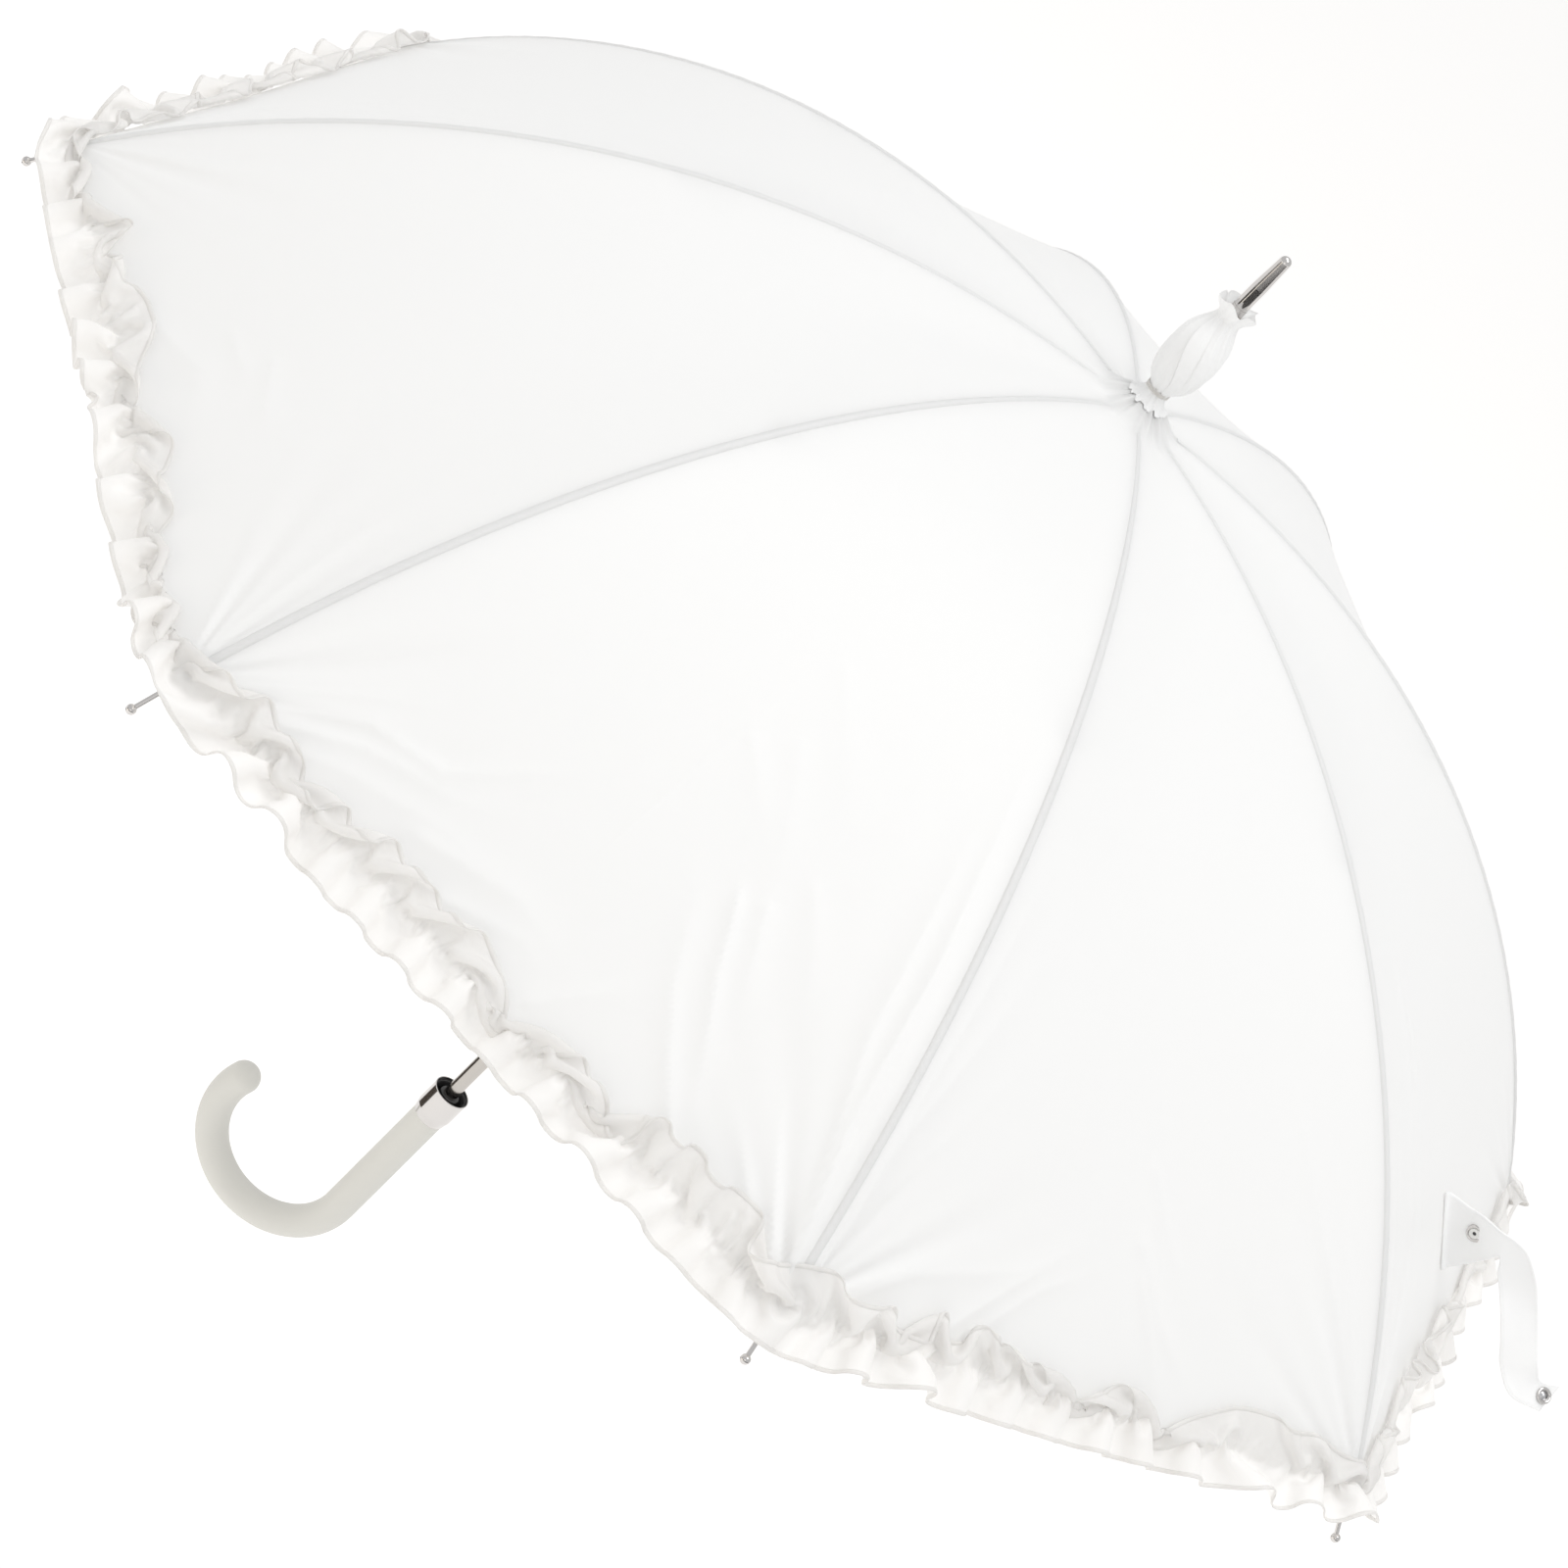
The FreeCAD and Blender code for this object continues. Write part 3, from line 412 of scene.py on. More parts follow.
def sector(rib, along):
    """Grid over one rib: the far half of the gore before it, and the near half of the one after."""
    before = (rib - 1) % RIBS
    points, normals = [], []
    for gore, u in ((before, 1.0 - ACROSS[::-1]), (rib, -1.0 + ACROSS)):
        grid_u = np.repeat(u[None, :], len(along), 0)
        grid_s = along[:, None] * hem_station(grid_u)
        point = canopy_point(gore, grid_u, grid_s)
        # it lies under the cloth round the tie
        point[..., 2] -= 0.0005 * smooth((CROWN_EDGE + 0.001 - grid_s) / 0.004)
        points.append(point)
        normals.append(canopy_normal(gore, grid_u, grid_s))
    # over the rib the two gores share a line of points, and their normals are averaged
    seam = normals[0][:, -1] + normals[1][:, 0]
    normals[0][:, -1] = seam / np.linalg.norm(seam, axis=1, keepdims=True)
    return (np.concatenate([points[0], points[1][:, 1:]], 1),
            np.concatenate([normals[0], normals[1][:, 1:]], 1))


def folds_with_rib(piece, rib):
    """The piece moves with a rib."""
    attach(piece, "rib_%d" % (rib + 1))
    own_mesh(piece)


def canopy_part(name, points, normals, loop=False):
    """A piece of the canopy from a grid of points and their normals."""
    faces = turned_faces(*points.shape[:2], loop=loop)
    piece = new_mesh(name, points.reshape(-1, 3), faces, normals.reshape(-1, 3))
    piece.data.materials.append(satin)
    return piece


def rib_cloth(rib):
    """The cloth over one rib: eight small parts near the crown, then the main one."""
    parts = []
    for number, (start, stop, steps, keep) in enumerate(PARTS):
        name = "canopy_upper_%d_%d" % (rib + 1, number + 1)
        if number == len(PARTS) - 1:
            name = "canopy_cloth_%d" % (rib + 1)
        part = canopy_part(name, *sector(rib, np.linspace(start, stop, steps)))
        folds_with_rib(part, rib)
        parts.append(part)
    main = parts.pop()
    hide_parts("canopy_%d" % (rib + 1))


for rib in range(RIBS):
    rib_cloth(rib)


def crown_cloth():
    """The cloth round the tie, which stays with the shaft when the ribs fold."""
    stations = np.linspace(0.003, CROWN_EDGE, 12)[:, None]
    points, normals = [], []
    for gore in range(RIBS):
        u = np.linspace(-1.0, 1.0, 36, endpoint=False)[None, :]
        grid_u = np.repeat(u, len(stations), 0)
        grid_s = np.repeat(stations, grid_u.shape[1], 1)
        points.append(canopy_point(gore, grid_u, grid_s))
        normals.append(canopy_normal(gore, grid_u, grid_s))
    points, normals = np.concatenate(points, 1), np.concatenate(normals, 1)
    piece = canopy_part("crown_cloth", points, normals, loop=True)
    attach(piece, "stick")


crown_cloth()

# ------------------------------------------------------------------ seams over the ribs


def make_seam(rib):
    """The felled seam that stands a little proud over a rib, puckered by its stitches."""
    stations = np.linspace(0.035, HEM_RIB - 0.004, 260)
    turn = rib_turn(rib)
    axis = np.array([math.cos(turn), math.sin(turn), 0.0])
    side = np.array([-math.sin(turn), math.cos(turn), 0.0])
    profile = [(-0.0021, -0.0003), (-0.0019, 0.0003), (-0.0012, 0.00055), (-0.0004, 0.00075),
               (0.0004, 0.00075), (0.0012, 0.00055), (0.0019, 0.0003), (0.0021, -0.0003)]
    points = np.zeros((len(stations), len(profile), 3))
    for i, s in enumerate(stations):
        lean = float(rib_slope(s))
        up = axis * math.sin(lean) + np.array([0, 0, math.cos(lean)])
        base = axis * float(rib_radius(s)) + np.array([0, 0, float(rib_height(s))])
        taper = 0.45 + 0.55 * min(1.0, s / 0.35)
        puckers = 1.0 + 0.10 * math.sin(s * 260.0 + rib)
        for j, (x, z) in enumerate(profile):
            fall = abs(x) * math.sin(HALF) * 0.55
            points[i, j] = base + side * x * taper + up * (z * taper * puckers - fall * taper)
    faces = grid_faces(len(stations), len(profile))
    piece = new_mesh("seam_%d" % (rib + 1), points.reshape(-1, 3), faces)
    piece.data.materials.append(satin)
    folds_with_rib(piece, rib)


for rib in range(RIBS):
    make_seam(rib)

# ------------------------------------------------------------------ the frill

# The strip is gathered along its middle on the hem, and both of its edges are free. It starts as
# waves in the cloth and is then let settle: every thread keeps its length, bends are eased, and
# the upper half comes to rest on the canopy.
FULLNESS = 1.38  # length of the strip over the length of the hem
THREAD = 0.0025  # spacing of the threads that are followed, both ways
FRILL_ROWS = 17
MIDDLE = FRILL_ROWS // 2
# where the strip is gathered, as a share of the rib: over a rib, and in the middle of a gore
GATHER_RIB = 0.951
GATHER_MID = 0.954
SETTLE_STEPS = 300
SWEEPS = 2
DRAG = 0.93  # share of its movement that a point keeps from one step to the next
CLEARANCE = 0.0009
TIP_CLEARANCE = 0.0012
STITCH_HEIGHT = 0.0012
# movement per step, in metres: the weight of the cloth, more of it on the upper half, how the
# upper half leans on the canopy, and how the lower half stands off and is creased
WEIGHT = 5e-6
UPPER_WEIGHT = 7e-6
UPPER_LEAN = 1.6e-5
LOWER_LIFT = 5e-6
LOWER_CREASE = 1.5e-5
HEM_WIDTH = 0.0020
HEM_DEPTH = 0.0008


def hem_path(samples=700):
    """Points, outward and downward directions and lengths along the line of gathering."""
    u = np.linspace(-1.0, 1.0, samples, endpoint=False)
    points, below = [], []
    for gore in range(RIBS):
        station = GATHER_MID + (GATHER_RIB - GATHER_MID) * np.abs(u) ** 8
        points.append(canopy_point(gore, u, station))
        below.append(canopy_point(gore, u, station + 0.012))
    points, below = np.concatenate(points), np.concatenate(below)
    down = blur(below - points, 21)
    tangent = unit(blur(np.roll(points, -4, 0) - np.roll(points, 4, 0), 21))
    down -= tangent * (down * tangent).sum(1, keepdims=True)
    down = unit(down)
    out = np.cross(tangent, down)
    out *= np.sign((out * points).sum(1, keepdims=True))
    steps = np.linalg.norm(np.roll(points, -1, 0) - points, axis=1)
    run = np.concatenate([[0], np.cumsum(steps)])
    return points, tangent, down, out, run


def bell(reach):
    """Weights of a smooth average over reach neighbours on each side."""
    kernel = np.hanning(2 * reach + 3)[1:-1]
    return kernel / kernel.sum()


def blur(field, reach):
    """Smooth a closed row of vectors or numbers."""
    flat = field.reshape(len(field), -1)
    padded = np.concatenate([flat[-reach:], flat, flat[:reach]])
    smoothed = [np.convolve(padded[:, i], bell(reach), "valid") for i in range(flat.shape[1])]
    return np.stack(smoothed, 1).reshape(field.shape)


def canopy_clearance(points):
    """Height of points over the taut cloth, the direction away from it, and where the cloth is."""
    angle = np.arctan2(points[..., 1], points[..., 0]) % (2 * math.pi)
    middle = (np.floor(angle / (2 * HALF)) + 0.5) * 2 * HALF
    reach = points[..., 0] * np.cos(middle) + points[..., 1] * np.sin(middle)
    side = -points[..., 0] * np.sin(middle) + points[..., 1] * np.cos(middle)
    radius = reach / math.cos(HALF)
    station = np.interp(radius, OUT, STATIONS)
    lean = np.interp(station, STATIONS, SLOPES)
    z = CROWN - np.interp(station, STATIONS, DOWN)
    normal = np.stack([np.sin(lean) * np.cos(middle), np.sin(lean) * np.sin(middle),
                       np.cos(lean) * math.cos(HALF)], -1)
    normal = unit(normal)
    u = np.clip(side / np.maximum(radius * math.sin(HALF), 1e-6), -1, 1)
    return (points[..., 2] - z) * normal[..., 2], normal, station, u


def uneven_steps(count, mean, spread, seed):
    """A phase that turns once every `mean` columns, unevenly, and closes on itself."""
    local = np.random.default_rng(seed)
    turns = max(1, round(count / mean))
    lengths = local.uniform(1 - spread, 1 + spread, turns)
    marks = np.concatenate([[0], np.cumsum(lengths)]) * count / lengths.sum()
    phase = np.interp(np.arange(count), marks, np.arange(turns + 1))
    reach = max(2, int(mean / 3))
    padded = np.concatenate([phase[-reach:] - turns, phase, phase[:reach] + turns])
    return 2 * math.pi * np.convolve(padded, bell(reach), "valid")


def uneven_values(count, mean, seed):
    """A slow random value between -1 and 1 for each column."""
    local = np.random.default_rng(seed)
    knots = max(4, round(count / mean))
    values = local.uniform(-1, 1, knots)
    place = np.arange(count) / count * knots
    i = np.floor(place).astype(int) % knots
    t = smooth(place - np.floor(place))
    return values[i] * (1 - t) + values[(i + 1) % knots] * t


def hold(points, weight, a, b, rest, strength):
    """Move the points at a and b towards their rest distance."""
    pa, pb = points[a], points[b]
    gap = pb - pa
    size = np.sqrt((gap * gap).sum(-1))
    wa, wb = weight[a], weight[b]
    total = wa + wb
    error = (size - rest) / np.maximum(size, 1e-9) * strength
    step = gap * (error / np.maximum(total, 1e-9))[..., None]
    points[a] = pa + step * wa[..., None]
    points[b] = pb - step * wb[..., None]


def make_strip():
    """The settled frill: rows across by columns along, in metres."""
    path, tangent, down, out, run = hem_path()
    total = run[-1]
    count = int(total * FULLNESS / THREAD / 4) * 4
    share = np.arange(count) / count
    place = (share + 0.0022 * uneven_values(count, 26, 3)) * total % total

    def along(field):
        closed = np.concatenate([field, field[:1]])
        return np.stack([np.interp(place, run, closed[:, i]) for i in range(3)], 1)

    base, side, fall, lift = along(path), along(tangent), along(down), along(out)
    # waves to start from: slow lobes in each half, and fine pleats at the gathers
    half = MIDDLE * THREAD
    inner_lobe = uneven_steps(count, 22, 0.5, 5)
    outer_lobe = uneven_steps(count, 20, 0.5, 6)
    pleat = uneven_steps(count, 4.2, 0.35, 9)
    points = np.zeros((FRILL_ROWS, count, 3))
    for row in range(FRILL_ROWS):
        v = (row - MIDDLE) / MIDDLE
        reach = abs(v)
        lobe = inner_lobe if v < 0 else outer_lobe
        size = 1.0 + 0.4 * uneven_values(count, 20, 20 if v < 0 else 21)
        swell, sway, stand = (0.0055, 0.0045, 0.0045) if v < 0 else (0.0090, 0.0065, 0.002)
        rise = swell * reach * size * np.sin(lobe + 0.8 * reach * uneven_values(count, 15, 23))
        rise += 0.0012 * (1 - reach) ** 2 * np.sin(pleat)
        rise += stand
        swing = sway * reach * size * np.sin(2 * lobe + 0.6)
        points[row] = (base + fall * (half * v * 0.93) + lift * rise[:, None]
                       + side * swing[:, None])
    points += rng.normal(0, 0.0002, points.shape)

    # the gathering stitches hold a thread of the middle row every few threads
    weight = np.ones((FRILL_ROWS, count))
    stitched = np.cumsum(rng.integers(2, 5, count))
    stitched = stitched[stitched < count - 1]
    weight[MIDDLE, stitched] = 0.0
    pinned = base + lift * STITCH_HEIGHT
    points[MIDDLE, stitched] = pinned[stitched]

    def settle(steps, pull):
        nonlocal points
        before = points.copy()
        for step in range(steps):
            move = (points - before) * DRAG
            before = points.copy()
            points += (move + pull) * weight[..., None]
            for _ in range(SWEEPS):
                sweep_strip()
            if step % 2 == 0:
                rest_on_canopy()

    def sweep_strip():
        every = slice(None)
        # along the strip: neighbours, then bends over two and four threads
        for jump, strength in ((1, 1.0), (2, 0.10), (4, 0.07)):
            for start in range(2):
                pairs = np.arange(0, count, 2 * jump)[:, None] + np.arange(jump)[None, :]
                first = (pairs.ravel() + start * jump) % count
                second = (first + jump) % count
                hold(points, weight, (every, first), (every, second), jump * THREAD, strength)
        # across it
        for jump, strength in ((1, 1.0), (2, 0.2)):
            for start in range(2 * jump):
                rows = np.arange(start, FRILL_ROWS - jump, 2 * jump)
                hold(points, weight, (rows, every), (rows + jump, every), jump * THREAD, strength)
        # the diagonals
        slant = THREAD * math.sqrt(2)
        for start in range(2):
            rows = np.arange(start, FRILL_ROWS - 1, 2)[:, None]
            columns = np.arange(count)[None, :]
            ahead = (columns + 1) % count
            hold(points, weight, (rows, columns), (rows + 1, ahead), slant, 0.45)
            hold(points, weight, (rows, ahead), (rows + 1, columns), slant, 0.45)

    def rest_on_canopy():
        height, normal, station, u = canopy_clearance(points)
        over = station < hem_station(u) - 0.002
        clear = CLEARANCE + TIP_CLEARANCE * smooth((np.abs(u) - 0.6) / 0.3)
        push = np.where(over, np.maximum(clear - height, 0.0), 0.0) * (weight > 0)
        points[:] = points + normal * push[..., None]

    rows = np.arange(FRILL_ROWS)[:, None, None]
    upper = (rows < MIDDLE) * 1.0
    pull = np.array([0, 0, -1.0]) * (WEIGHT + UPPER_WEIGHT * upper) - lift[None] * upper * UPPER_LEAN
    # the lower half was creased in use: here and there it turns up and stands off
    lower = np.clip((rows - MIDDLE) / MIDDLE, 0, 1)
    curl = uneven_values(count, 9, 31)[None, :, None]
    pull = pull + lower * (lift[None] * LOWER_LIFT * (1 + curl) - fall[None] * LOWER_CREASE * curl)
    settle(SETTLE_STEPS, pull)
    return points, place, total


def finer(points):
    """Twice as many rows and columns, on smooth curves through the given ones."""
    def middle(a, b, c, d):
        return (9 * (b + c) - a - d) / 16

    after = np.roll(points, -1, 1)
    half = middle(np.roll(points, 1, 1), points, after, np.roll(points, -2, 1))
    wide = np.empty((points.shape[0], points.shape[1] * 2, 3))
    wide[:, 0::2], wide[:, 1::2] = points, half
    padded = np.concatenate([2 * wide[:1] - wide[1:2], wide, 2 * wide[-1:] - wide[-2:-1]])
    tall = np.empty((points.shape[0] * 2 - 1, wide.shape[1], 3))
    tall[0::2] = wide
    tall[1::2] = middle(padded[:-3], padded[1:-2], padded[2:-1], padded[3:])
    return tall


coarse, place, hem_length = make_strip()
strip = finer(coarse)
count = strip.shape[1]
wide_place = np.repeat(place, 2)
along_strip = (np.roll(strip, -1, 1) - np.roll(strip, 1, 1)) / 2
frill_normals = unit(np.cross(np.gradient(strip, axis=0), along_strip))

# each piece runs from one mid-gore to the next, over a rib
gore_length = hem_length / RIBS
marks = [int(np.argmin(np.abs(wide_place - (gore + 0.5) * gore_length))) for gore in range(RIBS)]


def hem_tube(line, side):
    """A flat rolled hem along one edge of the strip."""
    run = unit(np.roll(line, -1, 0) - np.roll(line, 1, 0))
    side = unit(side - run * (side * run).sum(1, keepdims=True))
    other = np.cross(run, side)
    middle = line + side * HEM_WIDTH * 0.35
    ring = [middle + side * HEM_WIDTH / 2 * math.cos(t) + other * HEM_DEPTH / 2 * math.sin(t)
            for t in np.linspace(0, 2 * math.pi, 8, endpoint=False)]
    return np.stack(ring)


edge_inner = hem_tube(strip[0], strip[1] - strip[0])
edge_outer = hem_tube(strip[-1], strip[-2] - strip[-1])


def frill_piece(name, points, faces, rib, normals=None):
    """A piece of the frill from a grid of points, which folds with a rib."""
    piece = new_mesh(name, points.reshape(-1, 3), faces, normals)
    # painted light: the frill gets the lighter satin, which lifts the shade in its folds
    piece.data.materials.append(frill_lightened_satin)
    folds_with_rib(piece, rib)
    return piece


for rib in range(RIBS):
    start, stop = marks[(rib - 1) % RIBS], marks[rib]
    if stop <= start:
        stop += count
    pick = np.arange(start, stop + 1) % count
    piece = frill_piece("frill_strip_%d" % (rib + 1), strip[:, pick],
                        turned_faces(len(strip), len(pick)), rib,
                        frill_normals[:, pick].reshape(-1, 3))
    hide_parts("frill_%d" % (rib + 1))
    hems = [frill_piece("frill_%s_hem_%d" % (label, rib + 1), tube[:, pick].transpose(1, 0, 2),
                        grid_faces(len(pick), len(tube), loop=True), rib)
            for label, tube in (("inner", edge_inner), ("outer", edge_outer))]

# ------------------------------------------------------------------ the gathered sleeve at the crown

SLEEVE_FOOT = 0.593
TIE = 0.604
LAP_TURN = math.radians(70)
# distance from the shaft's line at each height, from the short skirt up to the flare
SLEEVE = [(0.5960, 0.0112), (0.5975, 0.0090), (0.5995, 0.0070), (0.6015, 0.0058),
          (0.6040, 0.0053), (0.6060, 0.0062), (0.6090, 0.0088), (0.6140, 0.0112),
          (0.6200, 0.0127), (0.6260, 0.0133), (0.6320, 0.0131), (0.6370, 0.0122),
          (0.6410, 0.0106), (0.6450, 0.0085), (0.6485, 0.0067), (0.6510, 0.0060),
          (0.6540, 0.0070), (0.6575, 0.0095), (0.6590, 0.0104)]


def sleeve_points(turns=288, rows=190):
    """Pleats run up the sleeve and twist a little. They are deep at the tie and at the neck."""
    heights, radii = np.array(SLEEVE).T
    run = np.concatenate([[0], np.cumsum(np.hypot(np.diff(heights), np.diff(radii)))])
    at = np.linspace(0, run[-1], rows)
    z = np.interp(at, run, heights)[:, None]
    radius = np.interp(at, run, radii)
    radius = np.convolve(np.pad(radius, 5, mode="edge"), bell(5), "valid")[:, None]
    turn = np.linspace(0, 2 * math.pi, turns, endpoint=False)[None, :]
    up = (z - SLEEVE_FOOT) / (SLEEVE[-1][0] - SLEEVE_FOOT)
    twist = turn + 1.0 * up
    skirt = smooth((TIE - z) / 0.010)
    flare = smooth((z - 0.650) / 0.008)
    body = 1.0 - smooth(np.abs(z - 0.6280) / 0.0215)
    deep = (1 - body) * (1 - skirt) * (1 - flare)
    pleat = (0.55 * np.abs(np.sin(4.5 * twist + 0.6)) + 0.30 * np.abs(np.sin(7.5 * twist + 2.0))
             + 0.22 * np.sin(13.0 * twist + 4.0 * up))
    radius = radius * (1 + (0.022 * body + 0.17 * deep) * (pleat - 0.45))
    # one long fold laps over its neighbour from the tie to the neck, and a lower one follows it
    below = 0.62 - z
    lap = (turn - LAP_TURN - 1.15 * below / 0.04 + math.pi) % (2 * math.pi) - math.pi
    fade = np.exp(-np.maximum(lap, 0) / 0.8)
    radius = radius + 0.0016 * smooth(lap / 0.04 + 0.5) * fade * (0.3 + body)
    second = (turn - LAP_TURN - 0.55 - 0.8 * below / 0.04 + math.pi) % (2 * math.pi) - math.pi
    fade = np.exp(-np.maximum(second, 0) / 0.6)
    radius = radius + 0.0009 * smooth(second / 0.04 + 0.5) * fade * body
    wave_low = np.sin(9 * turn + 0.5) + 0.6 * np.sin(14 * turn + 1.0)
    wave_high = np.sin(5 * turn + 1.3) + 0.5 * np.sin(9 * turn)
    radius = radius + 0.0004 * skirt * wave_low + 0.0012 * flare * wave_high
    z = z + 0.0012 * flare * np.sin(5 * turn + 3.0)
    radius = np.maximum(radius, 0.0046)
    z = np.maximum(z, CROWN + crown_climb(radius) + crown_gathers(turn, radius) + 0.0004)
    return np.stack([radius * np.cos(turn), radius * np.sin(turn), z + 0 * turn], -1)


sleeve_grid = sleeve_points()
sleeve = new_mesh("gathered_sleeve", sleeve_grid.reshape(-1, 3),
                  grid_faces(sleeve_grid.shape[0], sleeve_grid.shape[1], loop=True))
# painted light: the sleeve gets the lighter satin, which lifts the shade on its sides
sleeve.data.materials.append(shade_lifted_satin)
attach(sleeve, "stick")
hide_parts("crown_sleeve")


def tie_thread():
    """Three turns of thread round the sleeve."""
    steps = 240
    points = []
    for i in range(steps + 1):
        turn = i / steps * 3 * 2 * math.pi
        radius = 0.0061 + 0.0002 * math.sin(5 * turn)
        height = TIE + (i / steps - 0.5) * 0.0022
        points.append((radius * math.cos(turn), radius * math.sin(turn), height))
    line = bpy.data.curves.new("sleeve_thread", "CURVE")
    line.dimensions = "3D"
    line.bevel_depth = 0.00035
    line.bevel_resolution = 3
    spline = line.splines.new("POLY")
    spline.points.add(len(points) - 1)
    for point, place in zip(spline.points, points):
        point.co = (*place, 1.0)
    made = bpy.data.objects.new("sleeve_thread", line)
    bpy.context.scene.collection.objects.link(made)
    line.materials.append(hem_thread)
    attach(made, "stick")
    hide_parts("sleeve_tie")


tie_thread()

# ------------------------------------------------------------------ the strap and its press stud

# The strap is sewn to the gore between ribs 4 and 5, and moves with rib 4. Its cross-sections are
# in millimetres. The root is a flange under the cloth and then a tab that stands off it, by its
# upper and lower edges: station, turn in degrees, rise over the straight cloth. The free part is
# by its middle and its half-width: across, down and forward from the tab's end.
STRAP_RIB = 3
ROOT = [((0.811, 156.9, -3.2), (0.889, 156.9, -2.2)), ((0.813, 157.5, -2.0), (0.890, 157.5, -0.8)),
        ((0.826, 157.6, 9.2), (0.881, 157.6, 10.4)), ((0.831, 157.0, 17.9), (0.871, 157.0, 18.7)),
        ((0.839, 156.9, 24.0), (0.865, 156.9, 24.4))]
FREE = [((5.5, 8, -1), (5.8, -6.0, 3.0)), ((8.8, 18, -3), (8.2, -3.0, 2.2)),
        ((10, 32, -4), (9, 0, 0)), ((10, 46, -4), (9, 0, 0)), ((10, 60, -4), (9, 0, 0)),
        ((12, 68, -5), (8.2, -2.5, -3.0)), ((25, 75, -10), (5.5, -5.5, -3.3))]
ACROSS_STRAP = np.array([-0.772, -0.062, 0.633])
HANG = np.array([-0.558, 0.542, -0.628])
FACE = np.array([0.304, 0.838, 0.453])


def on_gore(station, turn, rise):
    """A point over the straight cloth between ribs 4 and 5."""
    angle, middle = math.radians(turn), 7 * HALF
    reach = float(rib_radius(station)) * math.cos(HALF) / math.cos(angle - middle)
    lean = float(rib_slope(station))
    out = np.array([math.sin(lean) * math.cos(middle), math.sin(lean) * math.sin(middle),
                    math.cos(lean) * math.cos(HALF)])
    out /= np.linalg.norm(out)
    place = np.array([reach * math.cos(angle), reach * math.sin(angle), float(rib_height(station))])
    return place + out * rise * MM


def strap_frames():
    """Centre, half-width and outward direction of the strap's cross-sections."""
    line = []
    for upper, lower in ROOT:
        top, bottom = on_gore(*upper), on_gore(*lower)
        line.append(((top + bottom) / 2, (top - bottom) / 2))
    root_end = line[-1][0]
    for place, half in FREE:
        line.append((root_end + (ACROSS_STRAP * place[0] + HANG * place[1] + FACE * place[2]) * MM,
                     (ACROSS_STRAP * half[0] + HANG * half[1] + FACE * half[2]) * MM))
    frames = []
    for i, (centre, half) in enumerate(line):
        run = line[min(i + 1, len(line) - 1)][0] - line[max(i - 1, 0)][0]
        out = np.cross(run, half)
        out /= np.linalg.norm(out)
        frames.append((centre, half, out if out @ FACE > 0 else -out))
    return frames


def through(values, at):
    """A smooth curve through a list of vectors, read at fractions of its length."""
    values = np.array(values)
    knots = np.concatenate([[0], np.cumsum(np.linalg.norm(np.diff(values[:, :3], axis=0), axis=1))])
    knots /= knots[-1]
    slopes = np.gradient(values, knots, axis=0)
    i = np.clip(np.searchsorted(knots, at, side="right") - 1, 0, len(knots) - 2)
    wide = (knots[i + 1] - knots[i])[:, None]
    t = ((at - knots[i])[:, None]) / wide
    a, b = values[i], values[i + 1]
    return ((2 * t**3 - 3 * t**2 + 1) * a + (t**3 - 2 * t**2 + t) * wide * slopes[i]
            + (3 * t**2 - 2 * t**3) * b + (t**3 - t**2) * wide * slopes[i + 1])


STRAP = strap_frames()


def make_strap():
    """A doubled band with turned edges and a line of stitches along each, from root to end."""
    rows = 150
    at = np.linspace(0, 1, rows)
    packed = through([np.concatenate(f) for f in STRAP], at)
    centre, wide, out = packed[:, :3], packed[:, 3:6], packed[:, 6:9]
    out = out / np.linalg.norm(out, axis=1, keepdims=True)
    # across: the turned edge is thicker than the middle, with a dip along each stitch line
    stitches = 0.86
    top = [(-1.0, 0.35), (-0.985, 0.75), (-0.95, 0.95), (-0.90, 0.98), (-stitches, 0.80),
           (-0.82, 0.95), (-0.75, 0.80), (-0.4, 0.70), (0.0, 0.68), (0.4, 0.70), (0.75, 0.80),
           (0.82, 0.95), (stitches, 0.80), (0.90, 0.98), (0.95, 0.95), (0.985, 0.75), (1.0, 0.35)]
    under = [(0.985, 0.05), (0.9, 0.0), (0.0, 0.05), (-0.9, 0.0), (-0.985, 0.05)]
    ring = []
    for x, lift in top + under:
        bow = 0.0008 * (1 - x * x) * np.sin(3 * math.pi * at)[:, None]
        pucker = 0.06 * np.sin(at * 300.0)[:, None] if abs(x) == stitches else 0.0
        ring.append(centre + wide * x + out * (MM * (lift + pucker) + bow))
    grid = np.stack(ring, 1)
    faces = grid_faces(rows, grid.shape[1], loop=True)
    last = (rows - 1) * grid.shape[1]
    faces.append(tuple(range(grid.shape[1]))[::-1])
    faces.append(tuple(last + i for i in range(grid.shape[1])))
    piece = new_mesh("strap_band", grid.reshape(-1, 3), faces)
    # painted light: the strap gets the lighter satin, which lifts the canopy's shade on it
    piece.data.materials.append(shade_lifted_satin)
    folds_with_rib(piece, STRAP_RIB)
    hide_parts("strap")


make_strap()


def turned(name, profile, centre, axis, finish, replaced=None, segments=48):
    """A turned piece: profile of (radius, height) in millimetres round an axis."""
    axis = Vector(axis).normalized()
    first = axis.orthogonal().normalized()
    second = axis.cross(first)
    points = []
    for radius, height in profile:
        for i in range(segments):
            turn = 2 * math.pi * i / segments
            points.append(Vector(centre) + axis * height * MM
                          + (first * math.cos(turn) + second * math.sin(turn)) * radius * MM)
    faces = grid_faces(len(profile), segments, loop=True)
    faces.append(tuple(range(segments))[::-1])
    faces.append(tuple((len(profile) - 1) * segments + i for i in range(segments)))
    piece = new_mesh(name, points, faces)
    piece.data.materials.append(finish)
    folds_with_rib(piece, STRAP_RIB)
    if replaced:
        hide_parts(replaced)


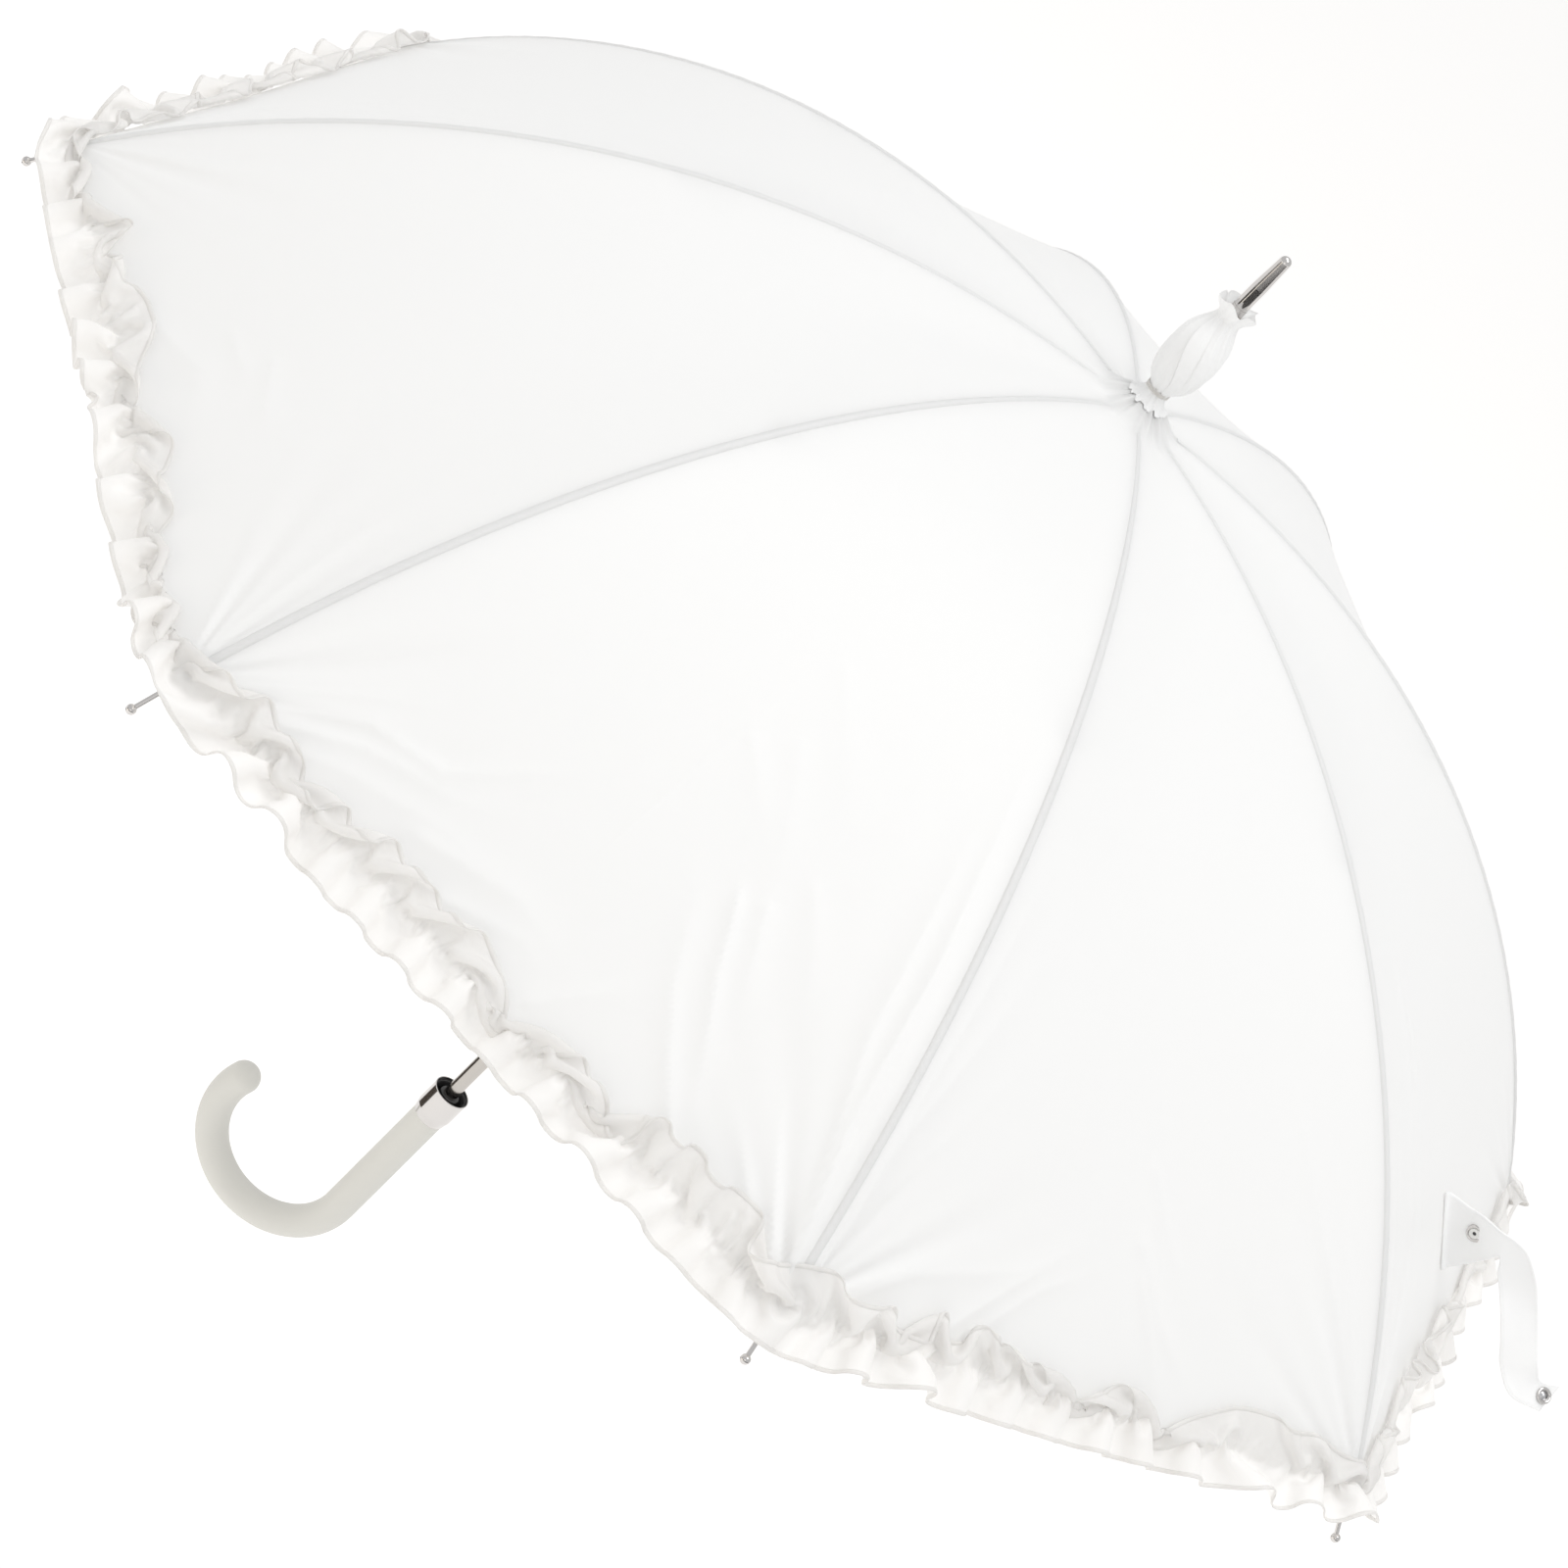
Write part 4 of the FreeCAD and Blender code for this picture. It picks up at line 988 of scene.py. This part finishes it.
def press_stud():
    """A plated ring round a pale cap with a small hole, and a plated socket at the strap's end."""
    out = STRAP[2][2]
    place = STRAP[2][0] * 0.7 + STRAP[3][0] * 0.3 + STRAP[2][1] * 0.15 + out * 0.0016
    rim = [(4.3, -0.9), (4.4, -0.2), (4.3, 0.35), (3.9, 0.65), (3.3, 0.7), (2.9, 0.45), (2.7, 0.0)]
    turned("stud_rim", rim, place, out, chrome, "snap_stud")
    cap = [(2.8, 0.1), (2.7, 0.5), (2.3, 0.75), (1.5, 0.8), (1.1, 0.65), (0.9, 0.1)]
    turned("stud_cap", cap, place, out, white_plastic)
    turned("stud_hole", [(0.95, 0.05), (0.95, 0.16), (0.5, 0.2)], place, out, black_plastic,
           segments=24)
    out = STRAP[-1][2]
    place = (STRAP[-1][0] * 3 + STRAP[-2][0]) / 4 + out * 0.0012
    rim = [(4.0, 0.0), (4.1, 0.5), (3.8, 0.95), (3.2, 1.05), (2.7, 0.8), (2.4, 0.3), (2.4, 0.1)]
    turned("socket_rim", rim, place, out, chrome, "snap_socket")
    dish = [(2.5, 0.0), (2.45, 0.15), (1.2, 0.2), (1.0, 0.5), (0.6, 0.6)]
    turned("socket_floor", dish, place, out, steel)


press_stud()

# ------------------------------------------------------------------ metal and plastic pieces

finishes = {"shaft_tube": shaft_chrome, "ferrule": chrome, "tip_cup": chrome,
            "cup_insert": black_plastic, "handle": handle_plastic, "top_notch": black_plastic,
            "runner": white_plastic, "notch_wire": steel, "runner_wire": steel,
            "runner_stop": steel, "top_catch": steel, "bottom_catch": steel}
for i in range(1, RIBS + 1):
    finishes["rib_%d" % i] = steel
    finishes["rib_tip_%d" % i] = chrome
    finishes["stretcher_%d" % i] = steel
for name, finish in finishes.items():
    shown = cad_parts[name]
    shown.data.materials.clear()
    shown.data.materials.append(finish)

# ------------------------------------------------------------------ floor, light and camera

# a wide floor well below the handle, which glows a little so that it stays white
FLOOR = -0.8
WIDE = 30
floor = new_mesh("floor", [(-WIDE, -WIDE, FLOOR), (WIDE, -WIDE, FLOOR), (WIDE, WIDE, FLOOR),
                           (-WIDE, WIDE, FLOOR)], [(0, 1, 2, 3)])
floor.data.materials.append(material("floor", (0.93, 0.93, 0.93), 0.9,
                                     Emission_Color=(1.0, 0.96, 0.90, 1.0), Emission_Strength=0.29))

world = bpy.data.worlds.new("studio")
bpy.context.scene.world = world
world.use_nodes = True
sky = world.node_tree.nodes["Background"].inputs
sky["Color"].default_value = (0.985, 0.99, 1.0, 1.0)
sky["Strength"].default_value = 0.72


def from_axis(azimuth, distance, height):
    """A place by its direction round the shaft in degrees, its distance and its height."""
    turn = math.radians(azimuth)
    return (distance * math.cos(turn), distance * math.sin(turn), height)


def lamp(name, place, target, size, power, colour=(1.0, 1.0, 1.0)):
    data = bpy.data.lights.new(name, "AREA")
    data.shape = "DISK"
    data.size = size
    data.energy = power
    data.color = colour
    made = bpy.data.objects.new(name, data)
    bpy.context.scene.collection.objects.link(made)
    made.location = place
    made.rotation_euler = (Vector(target) - Vector(place)).to_track_quat("-Z", "Y").to_euler()


def dark_flag(name, azimuth, distance, width, low, high, glow):
    """A black screen that stands outside the picture and gives the chrome its dark lines."""
    turn = math.radians(azimuth)
    middle = Vector(from_axis(azimuth, distance, 0.0))
    along = Vector((-math.sin(turn), math.cos(turn), 0.0)) * (width / 2)
    corners = [middle - along + Vector((0, 0, low)), middle + along + Vector((0, 0, low)),
               middle + along + Vector((0, 0, high)), middle - along + Vector((0, 0, high))]
    flag = new_mesh(name, corners, [(0, 1, 2, 3)])
    flag.data.materials.append(material(name, (0.01, 0.009, 0.008), 0.9, Emission_Strength=glow,
                                        Emission_Color=(1.0, 0.75, 0.55, 1.0)))
    flag.visible_camera = False
    flag.visible_diffuse = False
    flag.visible_shadow = False


lamp("key", from_axis(115, 1.4, 4.16), (0, 0, 0.45), 2.2, 38.0)
lamp("top", from_axis(-60, 0.8, 4.1), (0, 0, 0.5), 2.0, 25.0)
lamp("front", from_axis(75, 3.0, 1.0), (0, 0, 0.45), 1.6, 3.5, (1.0, 0.94, 0.86))
lamp("warm_fill", from_axis(33, 2.3, -0.25), (0, 0, 0.3), 1.5, 2.0, (1.0, 0.80, 0.5))
dark_flag("flag_low", -20, 1.0, 0.9, -0.78, -0.35, 0.05)
# the direction and the half-angle of each high flag
HIGH_FLAGS = ((20, 14), (58, 15), (88, 15), (118, 15), (141, 8))
HIGH_DISTANCE = 2.0
for number, (azimuth, spread) in enumerate(HIGH_FLAGS):
    width = 2 * HIGH_DISTANCE * math.tan(math.radians(spread))
    dark_flag("flag_high_%d" % (number + 1), azimuth, HIGH_DISTANCE, width, -0.08, 0.26, 0.0)

scene = bpy.context.scene
scene.view_settings.view_transform = "Standard"
scene.view_settings.look = "None"
scene.view_settings.exposure = 0.0
scene.view_settings.gamma = 1.0

eye = bpy.data.cameras.new("camera")
eye.sensor_width = 36.0
eye.lens = 94.55
eye.clip_end = 100.0
camera = bpy.data.objects.new("camera", eye)
scene.collection.objects.link(camera)
right = Vector((-0.77177, -0.06174, 0.63290))
up = Vector((0.55845, -0.54186, 0.62811))
back = Vector((0.30416, 0.83820, 0.45267))
facing = Matrix((right, up, back)).transposed().to_4x4()
camera.matrix_world = Matrix.Translation((0.60397, 1.68704, 1.23449)) @ facing
scene.camera = camera
